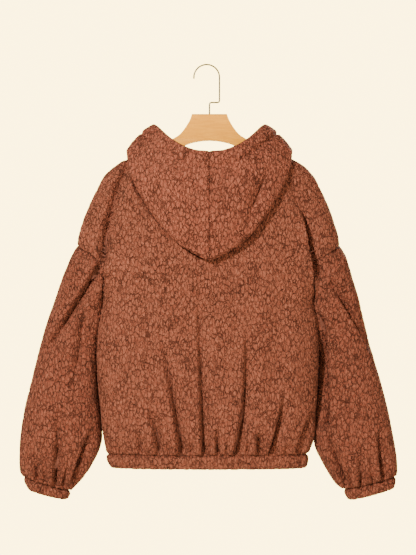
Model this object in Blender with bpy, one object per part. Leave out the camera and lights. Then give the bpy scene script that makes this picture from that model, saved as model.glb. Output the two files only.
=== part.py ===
"""A hooded sherpa jacket that hangs on a flat wooden hanger.

The origin is the inside of the hook's top, where a rail bears. +Z is up, the jacket's back faces -Y
and its front +Y. Lengths are metres. Every x in the tables is a distance from the hanger's stem.
"""
import itertools
import math

import bmesh
import bpy
import numpy as np
from mathutils import Vector
from mathutils.bvhtree import BVHTree

MM = 0.001

# Cloth and seams
CLOTH = 6 * MM                # knit backing with its pile
SEAM = 0.3 * MM               # gap between two pieces that are sewn together
UNDERARM_EASE = 1.0 * MM      # more gap under the arm, where the armhole's edge twists
HOOD_CLEARANCE = 0.7 * MM     # between the body and the hood's underside
ARM_CLEARANCE = 2 * MM        # between a sleeve and the body below the armhole
TURN = 2 * MM                 # where a sleeve turns from the armhole's edge down the arm
LEAST_TURN = 0.4 * MM
BAND_PUFF = 2.5 * MM          # how far the hem band swells between its edges
ROUNDNESS = 2.4               # exponent of the body's and the sleeves' rounded sections

# Places on the body
STEM_X = 5.7 * MM             # the hook hangs by a point beside its stem
SHOULDER_TOP = -0.157         # side of the neck
BACK_NECK = -0.190            # middle of the back neckline
FRONT_NECK = -0.235           # middle of the front neckline
BACK_DIP_START = -0.366       # below this the back's rows are level
FRONT_DIP_START = -0.475
UNDERARM = -0.475
SHOULDER_DROP = -0.366        # where the sleeve joins the shoulder line
HEM_SEAM = -0.795
HEM_END = -0.824

# Zip
ZIP_CHANNEL = 5 * MM          # from the middle to each front's edge
TAPE_WIDTH = 14 * MM
TAPE_THICK = 1.2 * MM
TAPE_GAP = 0.6 * MM           # behind the fronts, between their corners
TAPE_SHORT = 2 * MM           # from the neck seam to the tapes' tops
SLIDER_HEIGHT = -0.245
SLIDER_SIZE = (9 * MM, 4.2 * MM, 13 * MM)
BRIDGE_WIDTH = 2.2 * MM
BRIDGE_THICK = 1.0 * MM
BRIDGE_HALF = 4.0 * MM
BRIDGE_RISE = 4.0 * MM
BRIDGE_ROOT = 0.6 * MM        # how deep the bridge's feet go into the slider
TAB_SIZE = (7 * MM, 1.4 * MM, 32 * MM)
TAB_HOLE = (3.8 * MM, 0.9 * MM, 5.5 * MM)    # width, then its near and far end from the pivot

# Hanger and hook
WOOD_THICK = 14 * MM
WOOD_BEVEL = 3 * MM
WOOD_TOP = -0.100
WIRE_RADIUS = 1.6 * MM
HOOK_RADIUS = 26.2 * MM
JOG_HEIGHT = -0.0762          # where the stem bends to one side
BEND_RADIUS = 5 * MM

# How finely the cloth is drawn
BACK_COLUMNS = 40
FRONT_COLUMNS = 19
SLEEVE_COLUMNS = 24
SLEEVE_ROWS = 18
BAND_COLUMNS = 44
# Rows of the hood's table at which it has a section, closest where it bends over the shoulder
HOOD_STATIONS = [0, 1, 2, 3, 3.8, 4.5, 5, 5.4, 5.8, 6.2, 6.6, 7.1, 7.8, 8.6, 9.5, 10.3, 11]

LEVELS = [-0.795, -0.778, -0.755, -0.725, -0.688, -0.645, -0.600, -0.555, -0.513, UNDERARM,
          -0.450, -0.426, -0.403, -0.384, SHOULDER_DROP, -0.336, -0.300, -0.265, -0.238, -0.219,
          -0.204, -0.180, SHOULDER_TOP]
BAND_LEVELS = [HEM_SEAM - SEAM, -0.802, -0.816, HEM_END]

COLOURS = {
    "body": "#94533B",
    "hood": "#9B583E",
    "sleeve": "#894B33",
    "tape": "#5E3424",
    "zip metal": "#B9A27C",
    "wood": "#E9B273",
    "wire": "#C8CACB",
}


def table(names, rows):
    """Named columns of numbers, each an array down the rows."""
    return dict(zip(names.split(), np.array(rows, float).T))


TORSO = table(
    "height left right back front side", [
        (-0.8240, 0.2009, 0.1975, 0.056, 0.052, -0.002),
        (-0.7950, 0.2100, 0.2010, 0.064, 0.058, -0.004),
        (-0.7700, 0.2150, 0.2100, 0.072, 0.064, -0.006),
        (-0.7100, 0.2224, 0.2175, 0.076, 0.066, -0.008),
        (-0.6400, 0.2285, 0.2214, 0.077, 0.067, -0.008),
        (-0.5770, 0.2306, 0.2235, 0.077, 0.066, -0.008),
        (-0.5170, 0.2255, 0.2194, 0.075, 0.064, -0.007),
        (-0.4750, 0.2190, 0.2140, 0.073, 0.062, -0.006),
        (-0.4500, 0.2310, 0.2270, 0.072, 0.061, -0.005),
        (-0.4260, 0.2480, 0.2440, 0.071, 0.060, -0.004),
        (-0.4030, 0.2620, 0.2580, 0.070, 0.059, -0.003),
        (-0.3840, 0.2690, 0.2650, 0.068, 0.058, -0.002),
        (-0.3660, 0.2700, 0.2660, 0.066, 0.057, 0.000),
        (-0.3200, 0.2593, 0.2542, 0.062, 0.054, 0.000),
        (-0.2940, 0.2490, 0.2450, 0.059, 0.052, 0.000),
        (-0.2510, 0.2285, 0.2255, 0.053, 0.048, 0.000),
        (-0.2240, 0.2130, 0.2100, 0.049, 0.045, 0.000),
        (-0.2040, 0.1890, 0.1890, 0.045, 0.042, 0.000),
        (-0.1806, 0.1447, 0.1447, 0.041, 0.038, 0.000),
        (-0.1570, 0.1002, 0.1002, 0.036, 0.034, 0.000),
    ])

# Half the armhole's opening, measured round the body from its side
ARMHOLE = table(
    "height opening", [
        (UNDERARM, 0.000),
        (-0.450, 0.038),
        (-0.426, 0.056),
        (-0.403, 0.064),
        (-0.384, 0.042),
        (SHOULDER_DROP, 0.000),
    ])

FOLD_NAMES = "x0 z0 x1 z1 x2 z2 deep0 deep1 deep2 spread"

# The back's creases beside the arms, then its gathers from left to right
BACK_FOLDS = table(FOLD_NAMES, [
    (-0.163, -0.232, -0.204, -0.308, -0.2150, -0.385, 0.001, 0.012, 0.005, 0.014),
    (0.150, -0.232, 0.190, -0.308, 0.2070, -0.385, 0.001, 0.012, 0.005, 0.014),
    (-0.1425, -0.800, -0.147, -0.785, -0.151, -0.768, 0.008, 0.006, 0.000, 0.010),
    (-0.1076, -0.800, -0.118, -0.750, -0.142, -0.700, 0.009, 0.006, 0.000, 0.010),
    (-0.0564, -0.800, -0.075, -0.680, -0.1035, -0.540, 0.014, 0.010, 0.000, 0.013),
    (-0.0113, -0.800, -0.016, -0.660, -0.0285, -0.495, 0.015, 0.011, 0.000, 0.013),
    (0.0154, -0.800, 0.014, -0.765, 0.0133, -0.735, 0.007, 0.005, 0.000, 0.008),
    (0.0543, -0.800, 0.073, -0.680, 0.0687, -0.560, 0.015, 0.011, 0.000, 0.013),
    (0.0986, -0.800, 0.1002, -0.775, 0.1002, -0.755, 0.007, 0.005, 0.000, 0.008),
    (0.1240, -0.800, 0.143, -0.740, 0.154, -0.670, 0.012, 0.009, 0.000, 0.011),
    (0.1794, -0.800, 0.197, -0.765, 0.210, -0.735, 0.006, 0.005, 0.000, 0.009),
])

# The fronts' creases beside the arms, then their gathers
FRONT_FOLDS = table(FOLD_NAMES, [
    (-0.165, -0.240, -0.200, -0.310, -0.2130, -0.378, 0.001, 0.010, 0.003, 0.014),
    (0.155, -0.236, 0.190, -0.306, 0.2060, -0.378, 0.001, 0.010, 0.003, 0.014),
    (-0.1600, -0.800, -0.168, -0.750, -0.181, -0.700, 0.008, 0.006, 0.000, 0.010),
    (-0.1180, -0.800, -0.128, -0.700, -0.126, -0.600, 0.013, 0.009, 0.000, 0.012),
    (-0.0750, -0.800, -0.081, -0.755, -0.092, -0.715, 0.008, 0.006, 0.000, 0.010),
    (0.0620, -0.800, 0.076, -0.710, 0.080, -0.615, 0.013, 0.009, 0.000, 0.012),
    (0.1060, -0.800, 0.109, -0.765, 0.117, -0.730, 0.008, 0.006, 0.000, 0.010),
    (0.1480, -0.800, 0.160, -0.730, 0.164, -0.655, 0.011, 0.008, 0.000, 0.011),
])

SECTION_NAMES = "outer_x outer_z inner_x inner_z depth middle_y"

SLEEVES = {
    "left": table(SECTION_NAMES, [
        (0.2839, -0.3948, 0.2230, -0.4850, 0.041, 0.000),
        (0.3003, -0.4338, 0.2230, -0.5178, 0.043, 0.003),
        (0.3167, -0.4809, 0.2260, -0.5506, 0.046, 0.006),
        (0.3352, -0.5342, 0.2300, -0.5875, 0.049, 0.008),
        (0.3516, -0.5937, 0.2306, -0.6285, 0.053, 0.010),
        (0.3659, -0.6511, 0.2275, -0.6736, 0.056, 0.010),
        (0.3793, -0.7064, 0.2224, -0.7228, 0.058, 0.010),
        (0.3875, -0.7597, 0.2224, -0.7741, 0.056, 0.010),
        (0.3895, -0.8007, 0.2409, -0.8171, 0.050, 0.009),
        (0.3885, -0.8294, 0.2655, -0.8520, 0.042, 0.008),
        (0.3823, -0.8438, 0.2860, -0.8715, 0.034, 0.008),
    ]),
    "right": table(SECTION_NAMES, [
        (0.2798, -0.3928, 0.2190, -0.4809, 0.041, 0.000),
        (0.2921, -0.4338, 0.2190, -0.5178, 0.043, 0.003),
        (0.3044, -0.4768, 0.2204, -0.5506, 0.046, 0.006),
        (0.3187, -0.5322, 0.2235, -0.5875, 0.049, 0.008),
        (0.3331, -0.5896, 0.2235, -0.6285, 0.053, 0.010),
        (0.3506, -0.6470, 0.2194, -0.6736, 0.056, 0.010),
        (0.3659, -0.7064, 0.2173, -0.7228, 0.058, 0.010),
        (0.3772, -0.7638, 0.2153, -0.7741, 0.056, 0.010),
        (0.3834, -0.8028, 0.2306, -0.8110, 0.050, 0.009),
        (0.3844, -0.8294, 0.2552, -0.8520, 0.042, 0.008),
        (0.3823, -0.8427, 0.2757, -0.8694, 0.034, 0.008),
    ]),
}

CUFFS = {
    "left": table(SECTION_NAMES, [
        (0.3820, -0.8441, 0.2858, -0.8718, 0.033, 0.008),
        (0.3795, -0.8530, 0.2865, -0.8790, 0.034, 0.008),
        (0.3745, -0.8640, 0.2895, -0.8860, 0.033, 0.008),
        (0.3700, -0.8717, 0.2942, -0.8909, 0.031, 0.008),
    ]),
    "right": table(SECTION_NAMES, [
        (0.3820, -0.8430, 0.2756, -0.8697, 0.033, 0.008),
        (0.3822, -0.8520, 0.2775, -0.8780, 0.034, 0.008),
        (0.3805, -0.8610, 0.2820, -0.8860, 0.033, 0.008),
        (0.3772, -0.8684, 0.2880, -0.8920, 0.031, 0.008),
    ]),
}

# Each sleeve's long crease from the armhole to its outer edge, then the gathers above the cuff.
# The first rows show on the back of the arm, the rows that follow the gap on its front.
SLEEVE_FOLDS = {
    "left": {
        -1: table(FOLD_NAMES, [
            (0.222, -0.400, 0.289, -0.514, 0.351, -0.602, 0.004, 0.011, 0.005, 0.016),
            (0.319, -0.735, 0.313, -0.788, 0.3155, -0.850, 0.000, 0.007, 0.012, 0.010),
            (0.358, -0.795, 0.357, -0.820, 0.3560, -0.850, 0.000, 0.005, 0.009, 0.008),
            (0.235, -0.735, 0.252, -0.790, 0.2790, -0.865, 0.000, 0.007, 0.010, 0.010),
        ]),
        1: table(FOLD_NAMES, [
            (0.235, -0.430, 0.290, -0.520, 0.340, -0.580, 0.003, 0.009, 0.002, 0.016),
            (0.300, -0.740, 0.306, -0.795, 0.3030, -0.865, 0.000, 0.008, 0.012, 0.010),
            (0.345, -0.770, 0.343, -0.810, 0.3450, -0.850, 0.000, 0.006, 0.010, 0.010),
        ]),
    },
    "right": {
        -1: table(FOLD_NAMES, [
            (0.216, -0.398, 0.286, -0.500, 0.323, -0.563, 0.004, 0.011, 0.005, 0.016),
            (0.347, -0.760, 0.348, -0.800, 0.3580, -0.850, 0.000, 0.007, 0.012, 0.010),
            (0.300, -0.780, 0.306, -0.820, 0.3080, -0.860, 0.000, 0.005, 0.009, 0.009),
            (0.232, -0.745, 0.250, -0.795, 0.2730, -0.860, 0.000, 0.006, 0.009, 0.010),
        ]),
        1: table(FOLD_NAMES, [
            (0.232, -0.440, 0.282, -0.525, 0.325, -0.590, 0.003, 0.009, 0.002, 0.016),
            (0.292, -0.745, 0.298, -0.800, 0.2950, -0.865, 0.000, 0.008, 0.012, 0.010),
            (0.340, -0.765, 0.336, -0.810, 0.3400, -0.850, 0.000, 0.006, 0.010, 0.010),
        ]),
    },
}

# The hood from the middle of the back, over the shoulder, to the zip
HOOD = table(
    "neck_x neck_y neck_z fold_x fold_y fold_z rim_x rim_y rim_z roll bulge", [
        (0.000, -0.0420, -0.190, 0.0000, -0.094, -0.398, 0.000, -0.088, -0.1816, 0.0090, 0.016),
        (0.034, -0.0410, -0.187, 0.0380, -0.093, -0.384, 0.028, -0.086, -0.1790, 0.0090, 0.016),
        (0.058, -0.0370, -0.180, 0.0710, -0.090, -0.357, 0.050, -0.080, -0.1710, 0.0090, 0.015),
        (0.076, -0.0300, -0.172, 0.1040, -0.083, -0.317, 0.070, -0.068, -0.1590, 0.0090, 0.013),
        (0.089, -0.0200, -0.164, 0.1350, -0.070, -0.270, 0.087, -0.052, -0.1450, 0.0090, 0.011),
        (0.097, -0.0090, -0.158, 0.1570, -0.048, -0.222, 0.101, -0.030, -0.1310, 0.0085, 0.008),
        (0.100, 0.0030, -0.154, 0.1645, -0.012, -0.182, 0.110, -0.004, -0.1240, 0.0080, 0.005),
        (0.096, 0.0170, -0.163, 0.1620, 0.035, -0.192, 0.108, 0.028, -0.1300, 0.0080, 0.005),
        (0.083, 0.0320, -0.185, 0.1400, 0.072, -0.217, 0.092, 0.060, -0.1520, 0.0090, 0.006),
        (0.060, 0.0450, -0.209, 0.1030, 0.098, -0.242, 0.066, 0.085, -0.1780, 0.0095, 0.006),
        (0.034, 0.0510, -0.226, 0.0600, 0.110, -0.257, 0.037, 0.099, -0.1960, 0.0100, 0.005),
        (0.012, 0.0540, -0.234, 0.0230, 0.104, -0.258, 0.015, 0.098, -0.2060, 0.0100, 0.004),
    ])

# Half of the hanger's outline, from the top of the neck, out along the arm and back under it
HANGER = table("x z", [
    (0.0359, WOOD_TOP),
    (0.0400, -0.1120),
    (0.0495, -0.1280),
    (0.0610, -0.1420),
    (0.0770, -0.1522),
])
HANGER_TIP = table("x z", [
    (0.1780, -0.2060),
    (0.1870, -0.2140),
    (0.1935, -0.2245),
    (0.1950, -0.2350),
    (0.1915, -0.2405),
    (0.1840, -0.2390),
])
HANGER_ARCH = table("x z", [
    (0.0770, -0.1790),
    (0.0584, -0.1690),
    (0.0420, -0.1610),
    (0.0200, -0.1560),
    (0.0000, -0.1544),
])


def clear_scene():
    for item in list(bpy.data.objects):
        bpy.data.objects.remove(item, do_unlink=True)


def linear(hex_colour):
    """An sRGB hex colour as linear numbers."""
    parts = [int(hex_colour[k:k + 2], 16) / 255 for k in (1, 3, 5)]
    return [p / 12.92 if p <= 0.04045 else ((p + 0.055) / 1.055) ** 2.4 for p in parts]


def finish(name, roughness, metallic=0.0):
    """A plain material in one of the jacket's colours."""
    material = bpy.data.materials.get(name) or bpy.data.materials.new(name)
    material.use_nodes = True
    shader = material.node_tree.nodes["Principled BSDF"]
    shader.inputs["Base Color"].default_value = (*linear(COLOURS[name]), 1)
    shader.inputs["Roughness"].default_value = roughness
    shader.inputs["Metallic"].default_value = metallic
    return material


def add_object(name, data, material):
    item = bpy.data.objects.new(name, data)
    data.materials.append(material)
    bpy.context.scene.collection.objects.link(item)
    return item


def to_mesh(name, body, material):
    """Close a bmesh into an object that is shaded smooth but for its sharp edges."""
    bmesh.ops.recalc_face_normals(body, faces=body.faces)
    mesh = bpy.data.meshes.new(name)
    body.to_mesh(mesh)
    body.free()
    mesh.shade_smooth()
    mesh.set_sharp_from_angle(angle=math.radians(50))
    return add_object(name, mesh, material)


def smooth(columns, name, at, along="height"):
    """A column read as a smooth curve, with slopes taken from its neighbours."""
    xs, ys = columns[along], columns[name]
    slopes = np.gradient(ys, xs)
    at = np.clip(at, xs[0], xs[-1])
    k = np.clip(np.searchsorted(xs, at) - 1, 0, len(xs) - 2)
    step = xs[k + 1] - xs[k]
    t = (at - xs[k]) / step
    start = (1 + 2 * t) * (1 - t) ** 2 * ys[k] + t * (1 - t) ** 2 * step * slopes[k]
    end = t * t * (3 - 2 * t) * ys[k + 1] + t * t * (t - 1) * step * slopes[k + 1]
    return start + end


def read_between(columns, places):
    """The same columns, read smoothly at places counted in rows."""
    rows = np.arange(len(next(iter(columns.values()))), dtype=float)
    return {name: smooth({"row": rows, name: values}, name, places, along="row")
            for name, values in columns.items()}


def unit(vectors):
    return vectors / np.maximum(np.linalg.norm(vectors, axis=-1, keepdims=True), 1e-12)


def fold_depth(folds, x, z):
    """How far the folds in a table sink the cloth at places x and z."""
    total = np.zeros(np.shape(x))
    t = np.linspace(0, 1, 25)
    weights = ((1 - t) * (1 - 2 * t), 4 * t * (1 - t), t * (2 * t - 1))
    for k in range(len(folds["x0"])):
        def along(stem):
            return sum(w * folds[stem + str(n)][k] for n, w in enumerate(weights))
        far = np.hypot(x[..., None] - along("x"), z[..., None] - along("z"))
        nearest = far.argmin(axis=-1)
        distance = np.take_along_axis(far, nearest[..., None], axis=-1)[..., 0]
        deep = np.maximum(along("deep"), 0)[nearest]
        total += deep * np.exp(-(distance / folds["spread"][k]) ** 2)
    return total


def middle_height(level, face):
    """How low a row hangs in the middle, so that the highest one is the neckline."""
    dip_start = BACK_DIP_START if face < 0 else FRONT_DIP_START
    neck = BACK_NECK if face < 0 else FRONT_NECK
    share = max(level - dip_start, 0) / (SHOULDER_TOP - dip_start)
    return level + (neck - SHOULDER_TOP) * share ** 2


def torso_point(level, angle, face):
    """A point of the body's outer face. The angle runs from the left side to the right side."""
    middle = middle_height(level, face)
    sweep, reach = np.sin(angle), np.maximum(np.cos(angle), 0)
    height = level + (middle - level) * reach ** 3
    half = np.where(sweep < 0, smooth(TORSO, "left", level), smooth(TORSO, "right", level))
    depth = smooth(TORSO, "back" if face < 0 else "front", height)
    x = STEM_X + half * np.sign(sweep) * np.abs(sweep) ** (2 / ROUNDNESS)
    y = smooth(TORSO, "side", level) + face * depth * reach ** (2 / ROUNDNESS)
    return np.stack([x, y, height], axis=-1)


def torso_normal(level, angle, face):
    """The outward direction of the body's face, without its folds."""
    nudge = 0.001
    low, high = max(level - nudge, HEM_END), min(level + nudge, SHOULDER_TOP)
    before = np.clip(angle - nudge, -math.pi / 2, math.pi / 2)
    after = np.clip(angle + nudge, -math.pi / 2, math.pi / 2)
    upward = torso_point(high, angle, face) - torso_point(low, angle, face)
    across = torso_point(level, after, face) - torso_point(level, before, face)
    return unit(np.cross(across, upward) * -face)


def armhole_half(level):
    """Half the armhole's opening at a height, zero at the underarm and at the shoulder line."""
    return float(np.interp(level, ARMHOLE["height"], ARMHOLE["opening"], left=0, right=0))


def torso_row(level, face, first, last, count, folds):
    """One row of a panel's outer and inner points, evenly spaced between two angles."""
    angles = np.linspace(first, last, 400)
    fine = torso_point(level, angles, face)
    length = np.concatenate([[0], np.cumsum(np.linalg.norm(np.diff(fine, axis=0), axis=1))])
    at_left, at_right = first <= -math.pi / 2, last >= math.pi / 2
    opening = armhole_half(level)
    start = opening + SEAM / 2 if at_left else 0
    end = length[-1] - (opening + SEAM / 2 if at_right else 0)
    chosen = np.interp(np.linspace(start, end, count + 1), length, angles)
    points = torso_point(level, chosen, face)
    normals = torso_normal(level, chosen, face)
    if opening == 0:
        ends = [k for k, at_end in ((0, at_left), (-1, at_right)) if at_end]
        normals[ends, 1] = 0
    for k, at_end in ((0, at_left), (-1, at_right)):
        if not at_end:
            normals[k, 0] = 0
    normals = unit(normals)
    sunk = fold_depth(folds, points[:, 0] - STEM_X, points[:, 2])
    outer = points - normals * sunk[:, None]
    return outer, outer - normals * CLOTH


def zip_angle(level):
    """The angle at which a front ends, beside the zip."""
    half = min(smooth(TORSO, "left", level), smooth(TORSO, "right", level))
    return math.asin((ZIP_CHANNEL / half) ** (ROUNDNESS / 2))


def wall(name, outer, inner, material, ring=False):
    """A closed body between two grids of points. A ring's last column joins its first."""
    body = bmesh.new()
    out, inn = ([[body.verts.new(p) for p in row] for row in grid] for grid in (outer, inner))
    rows, columns = len(out), len(out[0])
    steps = [(c, (c + 1) % columns) for c in range(columns if ring else columns - 1)]
    for r in range(rows - 1):
        for c, d in steps:
            body.faces.new((out[r][c], out[r][d], out[r + 1][d], out[r + 1][c]))
            body.faces.new((inn[r][c], inn[r + 1][c], inn[r + 1][d], inn[r][d]))
    for r in (0, rows - 1):
        for c, d in steps:
            body.faces.new((out[r][c], inn[r][c], inn[r][d], out[r][d]))
    if not ring:
        for c in (0, columns - 1):
            for r in range(rows - 1):
                body.faces.new((out[r][c], out[r + 1][c], inn[r + 1][c], inn[r][c]))
    return to_mesh(name, body, material)


def body_panels():
    """The back and the two fronts. Returns their outer and inner grids."""
    side = math.pi / 2
    grids = {}
    for name, face, columns in (("back", -1, BACK_COLUMNS), ("front_left", 1, FRONT_COLUMNS),
                                ("front_right", 1, FRONT_COLUMNS)):
        rows = []
        for level in LEVELS:
            first = zip_angle(level) if name == "front_right" else -side
            last = -zip_angle(level) if name == "front_left" else side
            folds = BACK_FOLDS if face < 0 else FRONT_FOLDS
            rows.append(torso_row(level, face, first, last, columns, folds))
        outer, inner = (np.array([row[k] for row in rows]) for k in (0, 1))
        wall(name, outer, inner, finish("body", 0.95))
        grids[name] = (outer, inner)
    return grids


def hem_band():
    """One strip round the hem, from one side of the zip, round the back, to the other."""
    side = math.pi / 2
    rows_out, rows_in = [], []
    for k, level in enumerate(BAND_LEVELS):
        fine, normals = [], []
        for face, first, last in ((1, -zip_angle(level), -side), (-1, -side, side),
                                  (1, side, zip_angle(level))):
            angles = np.linspace(first, last, 300)
            fine.append(torso_point(level, angles, face))
            normals.append(torso_normal(level, angles, face))
        fine, normals = np.concatenate(fine), np.concatenate(normals)
        length = np.concatenate([[0], np.cumsum(np.linalg.norm(np.diff(fine, axis=0), axis=1))])
        places = np.linspace(0, length[-1], BAND_COLUMNS + 1)
        points = np.stack([np.interp(places, length, fine[:, n]) for n in range(3)], axis=-1)
        outward = unit(np.stack([np.interp(places, length, normals[:, n]) for n in range(3)], -1))
        outward[[0, -1], 0] = 0
        outward = unit(outward)
        puff = BAND_PUFF if 0 < k < len(BAND_LEVELS) - 1 else 0
        rows_out.append(points + outward * puff)
        rows_in.append(points + outward * (puff / 2 - CLOTH))
    wall("hem_band", np.array(rows_out), np.array(rows_in), finish("body", 0.95))


def armhole_loop(grids, side):
    """The sleeve's first ring: the armhole's edge, from the shoulder, down the back and up the front.

    Each point is moved off the body's edge by the seam's gap. Returns outer and inner points.
    """
    column = 0 if side == "left" else -1
    low, high = LEVELS.index(UNDERARM), LEVELS.index(SHOULDER_DROP)
    edges = []
    for k in (0, 1):
        back = grids["back"][k][low:high + 1, column][::-1]
        front = grids["front_" + side][k][low:high + 1, column]
        top, bottom = (back[0] + front[-1]) / 2, (back[-1] + front[0]) / 2
        edges.append((np.vstack([[top], back[1:-1], [bottom]]),
                      np.vstack([[bottom], front[1:-1], [top]])))
    half = SLEEVE_COLUMNS // 2
    rings = []
    for k in (0, 1):
        ring = []
        for part in (0, 1):
            measured, points = edges[0][part], edges[k][part]
            steps = np.linalg.norm(np.diff(measured, axis=0), axis=1)
            length = np.concatenate([[0], np.cumsum(steps)])
            places = np.linspace(0, length[-1], half + 1)[:-1]
            ring.append(np.stack([np.interp(places, length, points[:, n]) for n in range(3)], -1))
        rings.append(np.vstack(ring))
    outer, inner = rings
    tangent = np.roll(outer, -1, axis=0) - np.roll(outer, 1, axis=0)
    into_hole = unit(np.cross(tangent, outer - inner))
    towards = outer.mean(axis=0) - outer
    into_hole *= np.sign((into_hole * towards).sum(axis=1))[:, None]
    turn = np.linspace(0, 2 * math.pi, SLEEVE_COLUMNS, endpoint=False)
    gap = (SEAM + UNDERARM_EASE * (1 - np.cos(turn)) / 2)[:, None]
    return outer + into_hole * gap, inner + into_hole * gap, into_hole


def section_ring(row, outward):
    """One oval section of a sleeve or cuff, from its outer edge, round the back, to the front."""
    angle = np.linspace(0, 2 * math.pi, SLEEVE_COLUMNS, endpoint=False)
    across, deep = np.cos(angle), np.sin(angle)
    across = np.sign(across) * np.abs(across) ** (2 / ROUNDNESS)
    deep = np.sign(deep) * np.abs(deep) ** (2 / ROUNDNESS)
    middle_x, half_x = (row["outer_x"] + row["inner_x"]) / 2, (row["outer_x"] - row["inner_x"]) / 2
    middle_z, half_z = (row["outer_z"] + row["inner_z"]) / 2, (row["outer_z"] - row["inner_z"]) / 2
    x = STEM_X + outward * (middle_x + half_x * across)
    return np.stack([x, row["middle_y"] - row["depth"] * deep, middle_z + half_z * across], -1)


def section_rings(columns, outward):
    count = len(columns["depth"])
    rows = [{name: values[k] for name, values in columns.items()} for k in range(count)]
    return np.array([section_ring(row, outward) for row in rows])


def clear_of_torso(rings, side, clearance):
    """Move points of a sleeve out to the body's side wherever they would reach into it."""
    outward = -1 if side == "left" else 1
    y, z = rings[..., 1], rings[..., 2]
    offset = y - smooth(TORSO, "side", z)
    depth = np.where(offset < 0, smooth(TORSO, "back", z), smooth(TORSO, "front", z)) + clearance
    share = np.clip(1 - (np.abs(offset) / depth) ** ROUNDNESS, 0, 1)
    reach = smooth(TORSO, side, z) * share ** (1 / ROUNDNESS) + clearance
    limited = (z < UNDERARM) & (share > 0)
    distance = (rings[..., 0] - STEM_X) * outward
    rings[..., 0] = STEM_X + outward * np.where(limited, np.maximum(distance, reach), distance)
    return rings


def ring_normals(rings, outward):
    around = np.roll(rings, -1, axis=1) - np.roll(rings, 1, axis=1)
    along = np.gradient(rings, axis=0)
    return unit(np.cross(around, along) * outward)


def sleeve(grids, side):
    """A balloon sleeve from the armhole's edge to the cuff."""
    outward = -1 if side == "left" else 1
    first, first_inner, into_hole = armhole_loop(grids, side)
    places = np.linspace(0, len(SLEEVES[side]["depth"]) - 1, SLEEVE_ROWS)
    sections = section_rings(read_between(SLEEVES[side], places), outward)
    sections = clear_of_torso(sections, side, ARM_CLEARANCE)
    onward = unit(sections[0] - first)
    turn = first + unit(onward + into_hole) * TURN
    neck = turn + (sections[0] - turn) * 0.4
    rings = np.concatenate([[first, turn, neck], sections])
    normals = ring_normals(rings, outward)
    start_inward = unit(first_inner - first)
    fold_back = 0.5 + 0.5 * (start_inward * normals[3]).sum(axis=1, keepdims=True)
    normals[1] = unit(normals[3] - start_inward - into_hole * fold_back)
    sunk = np.zeros(rings.shape[:2])
    for face, folds in SLEEVE_FOLDS[side].items():
        x = np.abs(rings[..., 0] - STEM_X)
        deep = fold_depth(folds, x, rings[..., 2])
        facing = np.clip(normals[..., 1] * face * 2, 0, 1)
        sunk += deep * facing
    sunk[:2] = 0
    outer = rings - normals * sunk[..., None]
    inner = outer - normals * CLOTH
    inner[0] = first_inner
    for ring, start in ((outer, outer[0]), (inner, inner[0])):
        short = LEAST_TURN - ((ring[1] - start) * into_hole).sum(axis=1)
        ring[1] += into_hole * np.maximum(short, 0)[:, None]
    wall("sleeve_" + side, outer, inner, finish("sleeve", 0.95), ring=True)


def cuff(side):
    outward = -1 if side == "left" else 1
    rings = section_rings(CUFFS[side], outward)
    normals = ring_normals(rings, outward)
    wall("cuff_" + side, rings, rings - normals * CLOTH, finish("sleeve", 0.95), ring=True)


def hood_section(row):
    """The middle of the cloth from the neck seam, round the hood's fold and up to its rim."""
    neck, fold, rim = (np.array([row[part + "_x"], row[part + "_y"], row[part + "_z"]])
                       for part in ("neck", "fold", "rim"))
    into = unit(fold - (neck + rim) / 2)
    across = rim - neck
    across = unit(across - into * np.dot(across, into))
    centre = fold - into * row["roll"]
    under, over = centre - across * row["roll"], centre + across * row["roll"]
    points = [neck + (under - neck) * t for t in (0, 0.25, 0.5, 0.75)]
    for turn in np.linspace(-math.pi / 2, math.pi / 2, 6):
        points.append(centre + row["roll"] * (across * math.sin(turn) + into * math.cos(turn)))
    for t in (0.18, 0.38, 0.58, 0.80, 1.0):
        swell = row["bulge"] * math.sin(math.pi * t) ** 0.8
        points.append(over + (rim - over) * t + across * swell)
    return points


def outer_skin(grids):
    """The body panels' outer faces, to measure the hood's clearance from."""
    points, faces = [], []
    for name, (outer, _) in grids.items():
        rows, columns = outer.shape[:2]
        start = len(points)
        points += [Vector(p) for p in outer.reshape(-1, 3)]
        for r in range(rows - 1):
            for c in range(columns - 1):
                corner = start + r * columns + c
                face = (corner, corner + 1, corner + columns + 1, corner + columns)
                faces.append(face if name == "back" else face[::-1])
    return BVHTree.FromPolygons(points, faces)


def lift_off(points, skin, clearance):
    """Raise a grid of points until it, and the faces between its points, stand clear of the body."""
    shares = (0, 0.33, 0.67, 1)
    for _ in range(5):
        lift = np.zeros(points.shape)
        for r, c in np.ndindex(points.shape[0] - 1, points.shape[1] - 1):
            corners = points[r:r + 2, c:c + 2]
            for u, v in itertools.product(shares, shares):
                weights = np.array([[(1 - u) * (1 - v), (1 - u) * v], [u * (1 - v), u * v]])
                here = Vector((corners * weights[..., None]).sum(axis=(0, 1)))
                nearest, normal, _, _ = skin.find_nearest(here)
                short = clearance - (here - nearest).dot(normal)
                if short <= 0:
                    continue
                for i, k in ((0, 0), (0, 1), (1, 0), (1, 1)):
                    push = np.array(normal) * short * min(1, 1.5 * weights[i, k])
                    if np.linalg.norm(push) > np.linalg.norm(lift[r + i, c + k]):
                        lift[r + i, c + k] = push
        points = points + lift
    return points


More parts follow.
